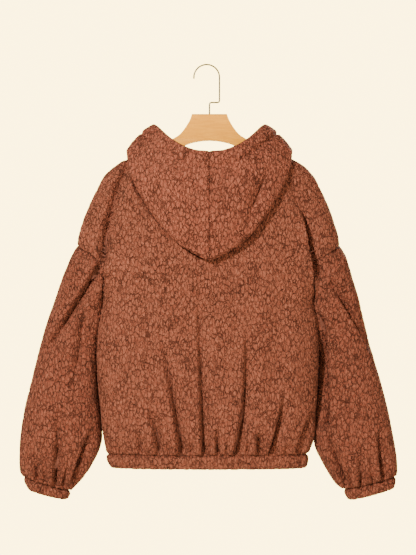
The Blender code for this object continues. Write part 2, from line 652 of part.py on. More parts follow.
def hood(grids, side):
    """One half of the hood, from the centre seam round to the zip."""
    outward = -1 if side == "left" else 1
    columns = read_between(HOOD, HOOD_STATIONS)
    rows = [{name: values[k] for name, values in columns.items()}
            for k in range(len(HOOD_STATIONS))]
    middle = np.array([hood_section(row) for row in rows])
    middle[..., 0] = STEM_X + outward * (middle[..., 0] + SEAM / 2)
    middle = lift_off(middle, outer_skin(grids), CLOTH / 2 + HOOD_CLEARANCE)
    middle[0, :, 0] = STEM_X + outward * SEAM / 2
    around, along = np.gradient(middle, axis=0), np.gradient(middle, axis=1)
    normals = np.cross(around, along) * outward
    normals[0, :, 0] = 0
    normals = unit(normals)
    wall("hood_" + side, middle + normals * CLOTH / 2, middle - normals * CLOTH / 2,
         finish("hood", 0.95))


def front_middle(height):
    """How far forward the fronts stand beside the zip."""
    return smooth(TORSO, "side", height) + smooth(TORSO, "front", height)


def zip_tape(side):
    """A strip behind one front's edge, from the neck to the hem."""
    outward = -1 if side == "left" else 1
    heights = [middle_height(level, 1) for level in BAND_LEVELS[:0:-1] + LEVELS]
    heights[-1] -= TAPE_SHORT
    out, inn = [], []
    for height in heights:
        face = front_middle(height) - CLOTH - TAPE_GAP
        edges = [STEM_X + outward * reach for reach in (SEAM / 2, TAPE_WIDTH)]
        out.append([(x, face, height) for x in edges])
        inn.append([(x, face - TAPE_THICK, height) for x in edges])
    wall("zip_tape_" + side, np.array(out), np.array(inn), finish("tape", 0.8))


def box(name, low, high, material):
    body = bmesh.new()
    bmesh.ops.create_cube(body, size=1)
    for corner in body.verts:
        for n in range(3):
            corner.co[n] = low[n] if corner.co[n] < 0 else high[n]
    return to_mesh(name, body, material)


def extruded(name, outline, half, material, axis):
    """A flat outline given thickness both ways along X or Y. The outline holds the other two."""
    body = bmesh.new()
    skins = []
    for reach in (-half, half):
        places = [(reach, a, b) if axis == "X" else (a, reach, b) for a, b in outline]
        skins.append([body.verts.new(p) for p in places])
    body.faces.new(skins[0])
    body.faces.new(skins[1][::-1])
    count = len(outline)
    for k in range(count):
        n = (k + 1) % count
        body.faces.new((skins[0][k], skins[0][n], skins[1][n], skins[1][k]))
    return to_mesh(name, body, material)


def guide(item):
    """Mark an object that only cuts or joins another."""
    item.hide_render = True
    item.display_type = "WIRE"
    return item


def boolean(item, other, operation):
    modifier = item.modifiers.new(operation.lower(), "BOOLEAN")
    modifier.operation = operation
    modifier.solver = "EXACT"
    modifier.object = guide(other)


def slider_and_tab():
    """The zip's slider with its bridge, and the pull tab whose crossbar lies under the bridge."""
    metal = finish("zip metal", 0.35, 1.0)
    wide, thick, tall = SLIDER_SIZE
    back = front_middle(SLIDER_HEIGHT - tall / 2) - CLOTH
    face = back + thick
    half = wide / 2
    outline = [(-half, tall / 2), (-half, 0), (-half * 0.6, -tall / 2), (half * 0.6, -tall / 2),
               (half, 0), (half, tall / 2)]
    slider = extruded("zip_slider", outline, thick / 2, metal, "Y")
    slider.location = (STEM_X, back + thick / 2, SLIDER_HEIGHT)
    inside = BRIDGE_HALF - BRIDGE_THICK
    under = BRIDGE_RISE - BRIDGE_THICK
    root = -BRIDGE_ROOT
    arch = [(root, -BRIDGE_HALF), (under * 0.8, -BRIDGE_HALF), (BRIDGE_RISE, -inside),
            (BRIDGE_RISE, inside), (under * 0.8, BRIDGE_HALF), (root, BRIDGE_HALF),
            (root, inside), (under, inside), (under, -inside), (root, -inside)]
    bridge = extruded("bridge", arch, BRIDGE_WIDTH / 2, metal, "X")
    bridge.location = (STEM_X, face, SLIDER_HEIGHT)
    boolean(slider, bridge, "UNION")

    pivot = Vector((STEM_X, face + under / 2, SLIDER_HEIGHT))
    tab_wide, tab_thick, tab_long = TAB_SIZE
    hole_wide, hole_near, hole_far = TAB_HOLE
    end = tab_long - tab_wide / 2
    sides = tab_wide / 2
    outline = [(-sides * 0.9, hole_near), (-sides, -end)]
    for k in range(1, 8):
        turn = math.pi + math.pi * k / 8
        outline.append((sides * math.cos(turn), -end + sides * math.sin(turn)))
    outline += [(sides, -end), (sides * 0.9, hole_near)]
    tab = extruded("pull_tab", outline, tab_thick / 2, metal, "Y")
    tab.location = pivot
    hole = box("tab_hole", (-hole_wide / 2, -tab_thick, -hole_far),
               (hole_wide / 2, tab_thick, -hole_near), metal)
    hole.location = pivot
    boolean(tab, hole, "DIFFERENCE")


def hanger():
    """A flat board cut to the shoulders' line, with rounded edges."""
    half = list(zip(HANGER["x"], HANGER["z"])) + list(zip(HANGER_TIP["x"], HANGER_TIP["z"]))
    half += list(zip(HANGER_ARCH["x"], HANGER_ARCH["z"]))
    mirrored = [(-x, z) for x, z in half[-2::-1]]
    outline = [(STEM_X + x, z) for x, z in half + mirrored]
    board = extruded("hanger", outline, WOOD_THICK / 2, finish("wood", 0.45), "Y")
    bevel = board.modifiers.new("rounded edges", "BEVEL")
    bevel.width = WOOD_BEVEL
    bevel.segments = 2
    bevel.limit_method = "ANGLE"
    bevel.angle_limit = math.radians(50)


def rounded(corners, radius):
    """A path through corners, each turned by a short curve."""
    path = [Vector(corners[0])]
    for before, corner, after in zip(corners, corners[1:], corners[2:]):
        before, corner, after = Vector(before), Vector(corner), Vector(after)
        start = corner + (before - corner).normalized() * radius
        end = corner + (after - corner).normalized() * radius
        for t in (0, 0.25, 0.5, 0.75, 1):
            path.append((1 - t) ** 2 * start + 2 * t * (1 - t) * corner + t * t * end)
    path.append(Vector(corners[-1]))
    return path


def hook():
    """Bent wire: a stem, a jog to one side, and a round hook above."""
    centre_z = WIRE_RADIUS - HOOK_RADIUS
    path = rounded([(STEM_X, 0, WOOD_TOP + SEAM), (STEM_X, 0, JOG_HEIGHT),
                    (HOOK_RADIUS, 0, JOG_HEIGHT), (HOOK_RADIUS, 0, centre_z)], BEND_RADIUS)
    for degrees in range(10, 186, 10):
        turn = math.radians(degrees)
        path.append(Vector((HOOK_RADIUS * math.cos(turn), 0,
                            centre_z + HOOK_RADIUS * math.sin(turn))))
    curve = bpy.data.curves.new("hook", "CURVE")
    curve.dimensions = "3D"
    spline = curve.splines.new("POLY")
    spline.points.add(len(path) - 1)
    for point, place in zip(spline.points, path):
        point.co = (*place, 1)
    curve.bevel_depth = WIRE_RADIUS
    curve.bevel_resolution = 2
    curve.use_fill_caps = True
    add_object("hook", curve, finish("wire", 0.15, 1.0))


def main():
    clear_scene()
    grids = body_panels()
    hem_band()
    for side in ("left", "right"):
        sleeve(grids, side)
        cuff(side)
        hood(grids, side)
        zip_tape(side)
    slider_and_tab()
    hanger()
    hook()


main()
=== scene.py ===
"""The looks of a hooded sherpa jacket that hangs on a flat wooden hanger, dressed on its solids.

The origin is the inside of the hook's top. +Z is up, the jacket's back faces -Y and its zip +Y.
Lengths are metres. Left is -X. Every x in the tables is a distance from the hanger's stem.
"""
import itertools
import math

import bmesh
import bpy
import numpy as np
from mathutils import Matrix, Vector
from mathutils.bvhtree import BVHTree


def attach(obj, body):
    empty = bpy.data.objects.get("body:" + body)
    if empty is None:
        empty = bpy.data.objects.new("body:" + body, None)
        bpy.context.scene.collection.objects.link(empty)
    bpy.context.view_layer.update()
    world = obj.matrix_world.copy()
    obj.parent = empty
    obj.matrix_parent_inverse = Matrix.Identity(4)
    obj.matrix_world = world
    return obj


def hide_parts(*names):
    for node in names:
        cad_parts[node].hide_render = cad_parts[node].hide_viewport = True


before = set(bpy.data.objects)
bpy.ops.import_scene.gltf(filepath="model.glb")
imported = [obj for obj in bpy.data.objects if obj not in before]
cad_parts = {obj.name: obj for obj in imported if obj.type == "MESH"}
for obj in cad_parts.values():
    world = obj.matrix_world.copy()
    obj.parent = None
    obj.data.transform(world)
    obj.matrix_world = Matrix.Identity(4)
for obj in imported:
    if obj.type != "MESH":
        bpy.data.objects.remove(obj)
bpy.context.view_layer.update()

MM = 0.001
OUTWARD = {"left": -1, "right": 1}

# The cloth and its seams, as the solids have them
CLOTH = 6 * MM
SEAM = 0.3 * MM
UNDERARM_EASE = 1.0 * MM      # what the armhole's seam gives where it turns under the arm
SLEEVE_CLEARANCE = 0.6 * MM
HOOD_CLEARANCE = 0.7 * MM
ROUNDNESS = 2.4               # of the body's and the sleeves' sections; an ellipse has 2

# Where the jacket's lines lie
STEM_X = 5.7 * MM
AT_SIDE = math.pi / 2         # the angle at which the back meets a front
SHOULDER_TOP = -0.157
BACK_NECK = -0.190
FRONT_NECK = -0.235
SHOULDER_DROP = -0.366
UNDERARM = -0.475
BACK_DIP_START = SHOULDER_DROP
FRONT_DIP_START = UNDERARM
HEM_SEAM = -0.795
HEM_END = -0.824

# The zip
ZIP_CHANNEL = 5 * MM
TAPE_WIDTH = 14 * MM
TAPE_THICK = 1.2 * MM
TAPE_GAP = 0.6 * MM
TAPE_BEAD = 0.35 * MM
SLIDER_HEIGHT = -0.245
TOOTH_PITCH = 2.6 * MM
TOOTH_SIZE = (3.6 * MM, 1.5 * MM, 1.5 * MM)
TOOTH_OVERLAP = 0.9 * MM      # how far a tooth reaches past the middle
TOOTH_FOOT = 0.1 * MM         # how deep it sits in its tape

# The hanger and its hook
WOOD_THICK = 14 * MM
WOOD_BEVEL = 3 * MM
WOOD_TOP = -0.100
SLOPE_START = (0.077, -0.1522)
WIRE_RADIUS = 1.6 * MM
WIRE_BEND = 5 * MM
HOOK_RADIUS = 26.2 * MM
JOG_HEIGHT = -0.0762

# The pile
SPACING = 2.1 * MM    # between the points of a cloth's outer face
INSIDE_STEP = 4               # an inner face has every fourth of those points
FINE_STEP = 2                 # or every second one, on the hood, the band and the cuffs
TUFT = 7.0 * MM               # across one curl
PILE_DEEP = 1.6 * MM          # from the crowns of the curls to the gaps between them
PILE_CROWN = 0.8 * MM         # how far a crown stands off the solid
BACKING_SHADE = 0.55          # what the backing has in place of the pile's painted shade

# Folds and gathers
LIP_RISE = 0.18               # what a fold's lips rise, as a share of its depth
SLIT_WIDTH = 2.6 * MM         # the tight slit at the bottom of a gather, as half its width
SLIT_SHARE = 0.5              # and its depth, as a share of the gather's
GATHER_END = 6 * MM           # the height over which gathers flatten into their seam
BODY_GATHERS_LEFT = 0.15      # what is left of them at the seam itself
SLEEVE_GATHERS_LEFT = 0.10
ARMHOLE_CALM = 12 * MM        # how far from the armhole a sleeve's folds begin
BAND_SWELL = 2.5 * MM
BAND_PUCKER = 0.9 * MM
CUFF_GATHER = 1.5 * MM

# Edges
SEAM_ROLL = 3.0 * MM          # how deep a sewn edge rolls into its seam, and from how far
SEAM_REACH = 0.7 * SEAM       # how far it reaches across the gap, so that no light comes through
SEAM_PAINTED_SHADE = 0.6              # how much painted shade the roll lays on the pile
EDGE_ROUND = 4.5 * MM         # how far from a free edge its rounding begins
EDGE_THIN = 0.3               # and how thin the cloth ends, as a share
FRONT_TURNED_IN = 25 * MM
RIM_TURNED_IN = 32 * MM
ALL_TURNED_IN = 1.0           # a doubled band, with its face on the inside too

# The sleeve's inner side is drawn to the body just under the arm
TUCK_DEEP = 6 * MM
TUCK_HEIGHT = -0.490
TUCK_SPREAD = 0.060
TUCK_WITHIN = 0.250           # of the stem

# The hood's rim is doubled, and its channel stitched plainly on the right half, faintly on the left
RIM_SWELL = 1.8 * MM
RIM_DOUBLED = 26 * MM
RIM_FADE = 8 * MM
CHANNEL_DEPTH = {"left": 2.4 * MM, "right": 4.0 * MM}
CHANNEL_PLACE = 33 * MM
CHANNEL_SPREAD = 3.2 * MM
NECK_DRAWN_IN = 11 * MM       # in front, its neck edge is drawn onto the fronts' neckline
NECK_SPREAD = 9 * MM
NECK_FRONT = 20 * MM

# The studio
FLOOR_HEIGHT = -1.75
FLOOR_RADIUS = 2.6
CAMERA_PLACE = (0.0027, -4.0, -0.4348)
CAMERA_LENS = 126.6           # so that one pixel is 2.05 mm at the hanger
LIT_PLACE = (0, 0, -0.45)
LIGHTS = {                    # place, size and power
    "key": ((-1.20, -2.32, 0.70), 0.22, 148),
    "fill": ((1.9, -1.9, -0.7), 1.6, 26),
    "back_key": ((1.3, 2.5, 0.9), 0.5, 170),
    "back_fill": ((-1.9, 1.9, 0.0), 1.6, 24),
}

# The gaps between curls, with painted shade, their middles and their crowns, with a painted
# highlight, and how loose the curls are
PILE_SHADES = {
    "body": ("#3A1107", "#764030", "#8B5543", 1.0),
    # the sleeves' copy of the one fabric is darker, as painted shade
    "sleeve": ("#351006", "#713B2C", "#84503F", 1.12),
    # the hood's copy of the one fabric is lighter, as painted light
    "hood": ("#3E1408", "#7F4434", "#905745", 1.12),
}

# The body panels' girth, and their sewn and free edges
PANELS = {
    "back": (0.55, ("first_row", "first_col", "last_col"), ()),
    "front_left": (0.275, ("first_row", "first_col"), ("last_col",)),
    "front_right": (0.275, ("first_row", "last_col"), ("first_col",)),
}
BAND_GIRTH = 0.92
SLEEVE_GIRTH = 0.44
CUFF_GIRTH = 0.26

# The body's rows from the hem up, and the band's from its seam down
LEVELS = [HEM_SEAM, -0.778, -0.755, -0.725, -0.688, -0.645, -0.600, -0.555, -0.513, UNDERARM,
          -0.450, -0.426, -0.403, -0.384, SHOULDER_DROP, -0.336, -0.300, -0.265, -0.238, -0.219,
          -0.204, -0.180, SHOULDER_TOP]
BAND_LEVELS = [HEM_SEAM - SEAM, -0.802, -0.816, HEM_END]

# The hood's sections, counted in rows of its table, closest over the shoulder
HOOD_STATIONS = [0, 1, 2, 3, 3.8, 4.5, 5, 5.4, 5.8, 6.2, 6.6, 7.1, 7.8, 8.6, 9.5, 10.3, 11]


def table(names, rows):
    """Named columns of numbers, each an array down the rows."""
    return dict(zip(names.split(), np.array(rows, float).T))


TORSO = table(
    "height left right back front side", [
        (-0.8240, 0.2009, 0.1975, 0.056, 0.052, -0.002),
        (-0.7950, 0.2100, 0.2010, 0.064, 0.058, -0.004),
        (-0.7700, 0.2150, 0.2100, 0.072, 0.064, -0.006),
        (-0.7100, 0.2224, 0.2175, 0.076, 0.066, -0.008),
        (-0.6400, 0.2285, 0.2214, 0.077, 0.067, -0.008),
        (-0.5770, 0.2306, 0.2235, 0.077, 0.066, -0.008),
        (-0.5170, 0.2255, 0.2194, 0.075, 0.064, -0.007),
        (-0.4750, 0.2190, 0.2140, 0.073, 0.062, -0.006),
        (-0.4500, 0.2310, 0.2270, 0.072, 0.061, -0.005),
        (-0.4260, 0.2480, 0.2440, 0.071, 0.060, -0.004),
        (-0.4030, 0.2620, 0.2580, 0.070, 0.059, -0.003),
        (-0.3840, 0.2690, 0.2650, 0.068, 0.058, -0.002),
        (-0.3660, 0.2700, 0.2660, 0.066, 0.057, 0.000),
        (-0.3200, 0.2593, 0.2542, 0.062, 0.054, 0.000),
        (-0.2940, 0.2490, 0.2450, 0.059, 0.052, 0.000),
        (-0.2510, 0.2285, 0.2255, 0.053, 0.048, 0.000),
        (-0.2240, 0.2130, 0.2100, 0.049, 0.045, 0.000),
        (-0.2040, 0.1890, 0.1890, 0.045, 0.042, 0.000),
        (-0.1806, 0.1447, 0.1447, 0.041, 0.038, 0.000),
        (-0.1570, 0.1002, 0.1002, 0.036, 0.034, 0.000),
    ])

# Half the armhole's opening, measured round the body from its side
ARMHOLE = table(
    "height opening", [
        (UNDERARM, 0.000),
        (-0.450, 0.038),
        (-0.426, 0.056),
        (-0.403, 0.064),
        (-0.384, 0.042),
        (SHOULDER_DROP, 0.000),
    ])

# A fold runs through three points, with a depth at each. It spreads by "inner" on its side towards
# the stem and by "outer" on the other, and where the two differ it has a slit at its bottom.
FOLD_NAMES = "x0 z0 x1 z1 x2 z2 deep0 deep1 deep2 inner outer"

# The back's creases beside the arms, then its gathers from left to right
BACK_FOLDS = table(FOLD_NAMES, [
    (-0.1553, -0.2369, -0.1045, -0.3140, -0.0274, -0.3871,
     0.004, 0.008, 0.006, 0.022, 0.004),
    (-0.172, -0.2085, -0.205, -0.300, -0.2200, -0.393, 0.006, 0.014, 0.018, 0.013, 0.0045),
    (0.190, -0.292, 0.204, -0.350, 0.2190, -0.440, 0.002, 0.020, 0.020, 0.004, 0.015),
    (0.160, -0.240, 0.178, -0.275, 0.192, -0.310, 0.002, 0.006, 0.004, 0.010, 0.016),
    (-0.110, -0.620, -0.128, -0.520, -0.138, -0.400, 0.003, 0.004, 0.001, 0.018, 0.018),
    (0.062, -0.540, 0.048, -0.470, 0.040, -0.415, 0.003, 0.004, 0.001, 0.015, 0.015),
    (0.128, -0.660, 0.142, -0.540, 0.150, -0.400, 0.003, 0.004, 0.001, 0.020, 0.020),
    (-0.1800, -0.800, -0.188, -0.780, -0.194, -0.765, 0.005, 0.003, 0.000, 0.006, 0.004),
    (-0.1380, -0.800, -0.143, -0.771, -0.149, -0.748, 0.006, 0.008, 0.000, 0.011, 0.0040),
    (-0.1025, -0.800, -0.109, -0.748, -0.123, -0.704, 0.012, 0.013, 0.000, 0.014, 0.0045),
    (-0.0800, -0.800, -0.084, -0.778, -0.088, -0.760, 0.005, 0.004, 0.000, 0.007, 0.0040),
    (-0.0558, -0.800, -0.073, -0.684, -0.102, -0.545, 0.016, 0.013, 0.002, 0.016, 0.0050),
    (-0.0355, -0.800, -0.037, -0.777, -0.040, -0.755, 0.007, 0.005, 0.000, 0.008, 0.0040),
    (-0.0122, -0.800, -0.0165, -0.650, -0.0240, -0.440, 0.015, 0.010, 0.001, 0.015, 0.0045),
    (0.0167, -0.800, 0.0152, -0.765, 0.0138, -0.736, 0.010, 0.010, 0.000, 0.0040, 0.010),
    (0.0330, -0.800, 0.0350, -0.779, 0.0370, -0.762, 0.006, 0.004, 0.000, 0.0040, 0.007),
    (0.0490, -0.800, 0.0700, -0.690, 0.0740, -0.530, 0.016, 0.013, 0.002, 0.0050, 0.016),
    (0.0760, -0.800, 0.0780, -0.779, 0.0800, -0.760, 0.006, 0.005, 0.000, 0.0040, 0.007),
    (0.0972, -0.800, 0.0980, -0.769, 0.0990, -0.744, 0.010, 0.011, 0.000, 0.0040, 0.011),
    (0.1198, -0.800, 0.1400, -0.734, 0.1520, -0.667, 0.014, 0.014, 0.001, 0.0050, 0.014),
    (0.1500, -0.800, 0.1560, -0.780, 0.1620, -0.764, 0.006, 0.004, 0.000, 0.0040, 0.008),
    (0.1746, -0.800, 0.1920, -0.750, 0.2100, -0.706, 0.009, 0.009, 0.001, 0.0045, 0.010),
])

# The fronts' creases beside the arms, then their gathers
FRONT_FOLDS = table(FOLD_NAMES, [
    (-0.165, -0.240, -0.200, -0.310, -0.2160, -0.395, 0.003, 0.012, 0.008, 0.008, 0.016),
    (0.155, -0.236, 0.190, -0.306, 0.2100, -0.395, 0.003, 0.012, 0.008, 0.008, 0.016),
    (-0.1600, -0.800, -0.168, -0.750, -0.181, -0.700, 0.010, 0.007, 0.000, 0.008, 0.009),
    (-0.1380, -0.800, -0.143, -0.775, -0.150, -0.750, 0.007, 0.005, 0.000, 0.006, 0.007),
    (-0.1180, -0.800, -0.128, -0.700, -0.126, -0.600, 0.015, 0.011, 0.001, 0.010, 0.012),
    (-0.0960, -0.800, -0.100, -0.775, -0.106, -0.745, 0.007, 0.005, 0.000, 0.006, 0.007),
    (-0.0750, -0.800, -0.081, -0.755, -0.092, -0.715, 0.010, 0.007, 0.000, 0.008, 0.009),
    (-0.0420, -0.800, -0.044, -0.775, -0.047, -0.745, 0.007, 0.005, 0.000, 0.006, 0.008),
    (0.0390, -0.800, 0.042, -0.770, 0.046, -0.735, 0.008, 0.006, 0.000, 0.006, 0.008),
    (0.0620, -0.800, 0.076, -0.710, 0.080, -0.615, 0.015, 0.011, 0.001, 0.010, 0.012),
    (0.0840, -0.800, 0.089, -0.780, 0.093, -0.752, 0.007, 0.005, 0.000, 0.006, 0.007),
    (0.1060, -0.800, 0.109, -0.765, 0.117, -0.730, 0.010, 0.007, 0.000, 0.008, 0.008),
    (0.1280, -0.800, 0.133, -0.780, 0.138, -0.755, 0.007, 0.005, 0.000, 0.006, 0.007),
    (0.1480, -0.800, 0.160, -0.730, 0.164, -0.655, 0.013, 0.010, 0.001, 0.009, 0.010),
    (0.1750, -0.800, 0.182, -0.775, 0.188, -0.750, 0.007, 0.005, 0.000, 0.007, 0.008),
])

# A sleeve's and a cuff's sections, from the armhole down
SECTION_NAMES = "outer_x outer_z inner_x inner_z depth middle_y"

SLEEVES = {
    "left": table(SECTION_NAMES, [
        (0.2839, -0.3948, 0.2230, -0.4850, 0.041, 0.000),
        (0.3003, -0.4338, 0.2230, -0.5178, 0.043, 0.003),
        (0.3167, -0.4809, 0.2260, -0.5506, 0.046, 0.006),
        (0.3352, -0.5342, 0.2300, -0.5875, 0.049, 0.008),
        (0.3516, -0.5937, 0.2306, -0.6285, 0.053, 0.010),
        (0.3659, -0.6511, 0.2275, -0.6736, 0.056, 0.010),
        (0.3793, -0.7064, 0.2224, -0.7228, 0.058, 0.010),
        (0.3875, -0.7597, 0.2224, -0.7741, 0.056, 0.010),
        (0.3895, -0.8007, 0.2409, -0.8171, 0.050, 0.009),
        (0.3885, -0.8294, 0.2655, -0.8520, 0.042, 0.008),
        (0.3823, -0.8438, 0.2860, -0.8715, 0.034, 0.008),
    ]),
    "right": table(SECTION_NAMES, [
        (0.2798, -0.3928, 0.2190, -0.4809, 0.041, 0.000),
        (0.2921, -0.4338, 0.2190, -0.5178, 0.043, 0.003),
        (0.3044, -0.4768, 0.2204, -0.5506, 0.046, 0.006),
        (0.3187, -0.5322, 0.2235, -0.5875, 0.049, 0.008),
        (0.3331, -0.5896, 0.2235, -0.6285, 0.053, 0.010),
        (0.3506, -0.6470, 0.2194, -0.6736, 0.056, 0.010),
        (0.3659, -0.7064, 0.2173, -0.7228, 0.058, 0.010),
        (0.3772, -0.7638, 0.2153, -0.7741, 0.056, 0.010),
        (0.3834, -0.8028, 0.2306, -0.8110, 0.050, 0.009),
        (0.3844, -0.8294, 0.2552, -0.8520, 0.042, 0.008),
        (0.3823, -0.8427, 0.2757, -0.8694, 0.034, 0.008),
    ]),
}

CUFFS = {
    "left": table(SECTION_NAMES, [
        (0.3820, -0.8441, 0.2858, -0.8718, 0.033, 0.008),
        (0.3795, -0.8530, 0.2865, -0.8790, 0.034, 0.008),
        (0.3745, -0.8640, 0.2895, -0.8860, 0.033, 0.008),
        (0.3700, -0.8717, 0.2942, -0.8909, 0.031, 0.008),
    ]),
    "right": table(SECTION_NAMES, [
        (0.3820, -0.8430, 0.2756, -0.8697, 0.033, 0.008),
        (0.3822, -0.8520, 0.2775, -0.8780, 0.034, 0.008),
        (0.3805, -0.8610, 0.2820, -0.8860, 0.033, 0.008),
        (0.3772, -0.8684, 0.2880, -0.8920, 0.031, 0.008),
    ]),
}

# Each sleeve's long crease from the armhole to its outer edge, then the gathers above the cuff.
# The first rows show on the back of the arm, the rows that follow the gap on its front.
SLEEVE_FOLDS = {
    "left": {
        -1: table(FOLD_NAMES, [
            (0.213, -0.390, 0.263, -0.476, 0.333, -0.578, 0.013, 0.016, 0.004, 0.013, 0.0045),
            (0.255, -0.500, 0.262, -0.580, 0.278, -0.660, 0.003, 0.007, 0.001, 0.018, 0.010),
            (0.306, -0.705, 0.3095, -0.790, 0.3155, -0.860, 0.001, 0.013, 0.017, 0.012, 0.0050),
            (0.355, -0.790, 0.3540, -0.820, 0.3530, -0.860, 0.000, 0.006, 0.010, 0.008, 0.0040),
            (0.338, -0.805, 0.3360, -0.830, 0.3360, -0.860, 0.000, 0.005, 0.008, 0.006, 0.0040),
            (0.240, -0.745, 0.256, -0.790, 0.2790, -0.850, 0.002, 0.010, 0.013, 0.009, 0.0045),
            (0.283, -0.790, 0.290, -0.825, 0.2980, -0.865, 0.000, 0.005, 0.010, 0.008, 0.0040),
        ]),
        1: table(FOLD_NAMES, [
            (0.235, -0.430, 0.290, -0.520, 0.340, -0.580, 0.006, 0.012, 0.003, 0.013, 0.006),
            (0.300, -0.740, 0.306, -0.795, 0.3030, -0.865, 0.000, 0.010, 0.014, 0.006, 0.010),
            (0.345, -0.770, 0.343, -0.810, 0.3450, -0.860, 0.000, 0.008, 0.012, 0.005, 0.009),
            (0.325, -0.800, 0.324, -0.830, 0.3240, -0.860, 0.000, 0.005, 0.009, 0.004, 0.006),
            (0.262, -0.760, 0.272, -0.810, 0.2880, -0.868, 0.000, 0.007, 0.011, 0.005, 0.008),
        ]),
    },
    "right": {
        -1: table(FOLD_NAMES, [
            (0.245, -0.450, 0.281, -0.497, 0.321, -0.566, 0.006, 0.013, 0.011, 0.0045, 0.014),
            (0.224, -0.520, 0.230, -0.610, 0.233, -0.730, 0.010, 0.028, 0.012, 0.012, 0.009),
            (0.347, -0.740, 0.348, -0.790, 0.3580, -0.860, 0.001, 0.010, 0.015, 0.0050, 0.011),
            (0.322, -0.790, 0.328, -0.825, 0.3330, -0.860, 0.000, 0.005, 0.009, 0.0040, 0.007),
            (0.300, -0.770, 0.306, -0.815, 0.3080, -0.865, 0.000, 0.007, 0.011, 0.0045, 0.010),
            (0.232, -0.735, 0.250, -0.790, 0.2730, -0.855, 0.001, 0.009, 0.013, 0.0050, 0.010),
            (0.272, -0.800, 0.281, -0.830, 0.2900, -0.865, 0.000, 0.005, 0.009, 0.0040, 0.007),
        ]),
        1: table(FOLD_NAMES, [
            (0.232, -0.440, 0.282, -0.525, 0.325, -0.590, 0.006, 0.012, 0.003, 0.013, 0.006),
            (0.292, -0.745, 0.298, -0.800, 0.2950, -0.865, 0.000, 0.010, 0.014, 0.006, 0.010),
            (0.340, -0.765, 0.336, -0.810, 0.3400, -0.860, 0.000, 0.008, 0.012, 0.005, 0.009),
            (0.318, -0.800, 0.317, -0.830, 0.3180, -0.860, 0.000, 0.005, 0.009, 0.004, 0.006),
            (0.258, -0.765, 0.267, -0.815, 0.2780, -0.868, 0.000, 0.007, 0.011, 0.005, 0.008),
        ]),
    },
}

# The hood from the middle of the back, over the shoulder, to the zip
HOOD = table(
    "neck_x neck_y neck_z fold_x fold_y fold_z rim_x rim_y rim_z roll bulge", [
        (0.000, -0.0420, -0.190, 0.0000, -0.089, -0.399, 0.000, -0.088, -0.1816, 0.0080, 0.016),
        (0.034, -0.0410, -0.187, 0.0380, -0.087, -0.379, 0.028, -0.086, -0.1790, 0.0080, 0.016),
        (0.058, -0.0370, -0.180, 0.0710, -0.083, -0.356, 0.050, -0.080, -0.1710, 0.0080, 0.015),
        (0.076, -0.0300, -0.172, 0.1040, -0.075, -0.317, 0.070, -0.068, -0.1590, 0.0080, 0.013),
        (0.089, -0.0200, -0.164, 0.1350, -0.061, -0.270, 0.087, -0.052, -0.1450, 0.0080, 0.011),
        (0.097, -0.0090, -0.158, 0.1570, -0.042, -0.222, 0.101, -0.030, -0.1310, 0.0080, 0.008),
        (0.100, 0.0030, -0.154, 0.1645, -0.012, -0.182, 0.110, -0.004, -0.1240, 0.0080, 0.005),
        (0.096, 0.0170, -0.163, 0.1620, 0.035, -0.192, 0.108, 0.028, -0.1300, 0.0080, 0.005),
        (0.083, 0.0320, -0.185, 0.1400, 0.072, -0.217, 0.092, 0.060, -0.1520, 0.0090, 0.006),
        (0.060, 0.0450, -0.209, 0.1030, 0.098, -0.242, 0.066, 0.085, -0.1780, 0.0095, 0.006),
        (0.034, 0.0510, -0.226, 0.0600, 0.110, -0.257, 0.037, 0.099, -0.1960, 0.0100, 0.005),
        (0.012, 0.0540, -0.234, 0.0230, 0.104, -0.258, 0.015, 0.098, -0.2060, 0.0100, 0.004),
    ])

# A soft trough beside the centre seam on both halves, and one on the right half from its rim
HOOD_FOLDS = {
    "left": table(FOLD_NAMES, [
        (-0.034, -0.215, -0.028, -0.275, -0.012, -0.350, 0.002, 0.005, 0.002, 0.016, 0.022),
    ]),
    "right": table(FOLD_NAMES, [
        (0.026, -0.220, 0.024, -0.275, 0.010, -0.345, 0.001, 0.003, 0.001, 0.016, 0.020),
        (0.1165, -0.222, 0.100, -0.270, 0.078, -0.318, 0.001, 0.009, 0.001, 0.014, 0.010),
    ]),
}

# Half of the hanger's outline, from the top of the neck, out along the arm and back under it
HANGER = table("x z", [
    (0.0359, WOOD_TOP),
    (0.0400, -0.1120),
    (0.0495, -0.1280),
    (0.0610, -0.1420),
    SLOPE_START,
])
HANGER_TIP = table("x z", [
    (0.1780, -0.2060),
    (0.1870, -0.2140),
    (0.1935, -0.2245),
    (0.1950, -0.2350),
    (0.1915, -0.2405),
    (0.1840, -0.2390),
])
HANGER_ARCH = table("x z", [
    (0.0770, -0.1790),
    (0.0584, -0.1690),
    (0.0420, -0.1610),
    (0.0200, -0.1560),
    (0.0000, -0.1544),
])


# Reading tables, lines and grids of points

def hermite(t, step, values, slopes, k):
    """A cubic from row k to row k + 1 that keeps both rows' slopes."""
    start = (1 + 2 * t) * (1 - t) ** 2 * values[k] + t * (1 - t) ** 2 * step * slopes[k]
    end = t * t * (3 - 2 * t) * values[k + 1] + t * t * (t - 1) * step * slopes[k + 1]
    return start + end


def smooth(columns, name, at, along="height"):
    """A column read as a smooth curve, with slopes taken from its neighbours."""
    xs, ys = columns[along], columns[name]
    at = np.clip(at, xs[0], xs[-1])
    k = np.clip(np.searchsorted(xs, at) - 1, 0, len(xs) - 2)
    step = xs[k + 1] - xs[k]
    return hermite((at - xs[k]) / step, step, ys, np.gradient(ys, xs), k)


def read_between(columns, places):
    """The same columns, read smoothly at places counted in rows."""
    rows = np.arange(len(next(iter(columns.values()))), dtype=float)
    return {name: smooth({"row": rows, name: values}, name, places, along="row")
            for name, values in columns.items()}


def rows_of(columns):
    """A table's rows, each with its numbers by name."""
    return [dict(zip(columns, row)) for row in zip(*columns.values())]


def unit(vectors):
    """Vectors of length one."""
    return vectors / np.maximum(np.linalg.norm(vectors, axis=-1, keepdims=True), 1e-12)


def run_length(points):
    """How far along a line each of its points is."""
    return np.concatenate([[0], np.cumsum(np.linalg.norm(np.diff(points, axis=0), axis=1))])


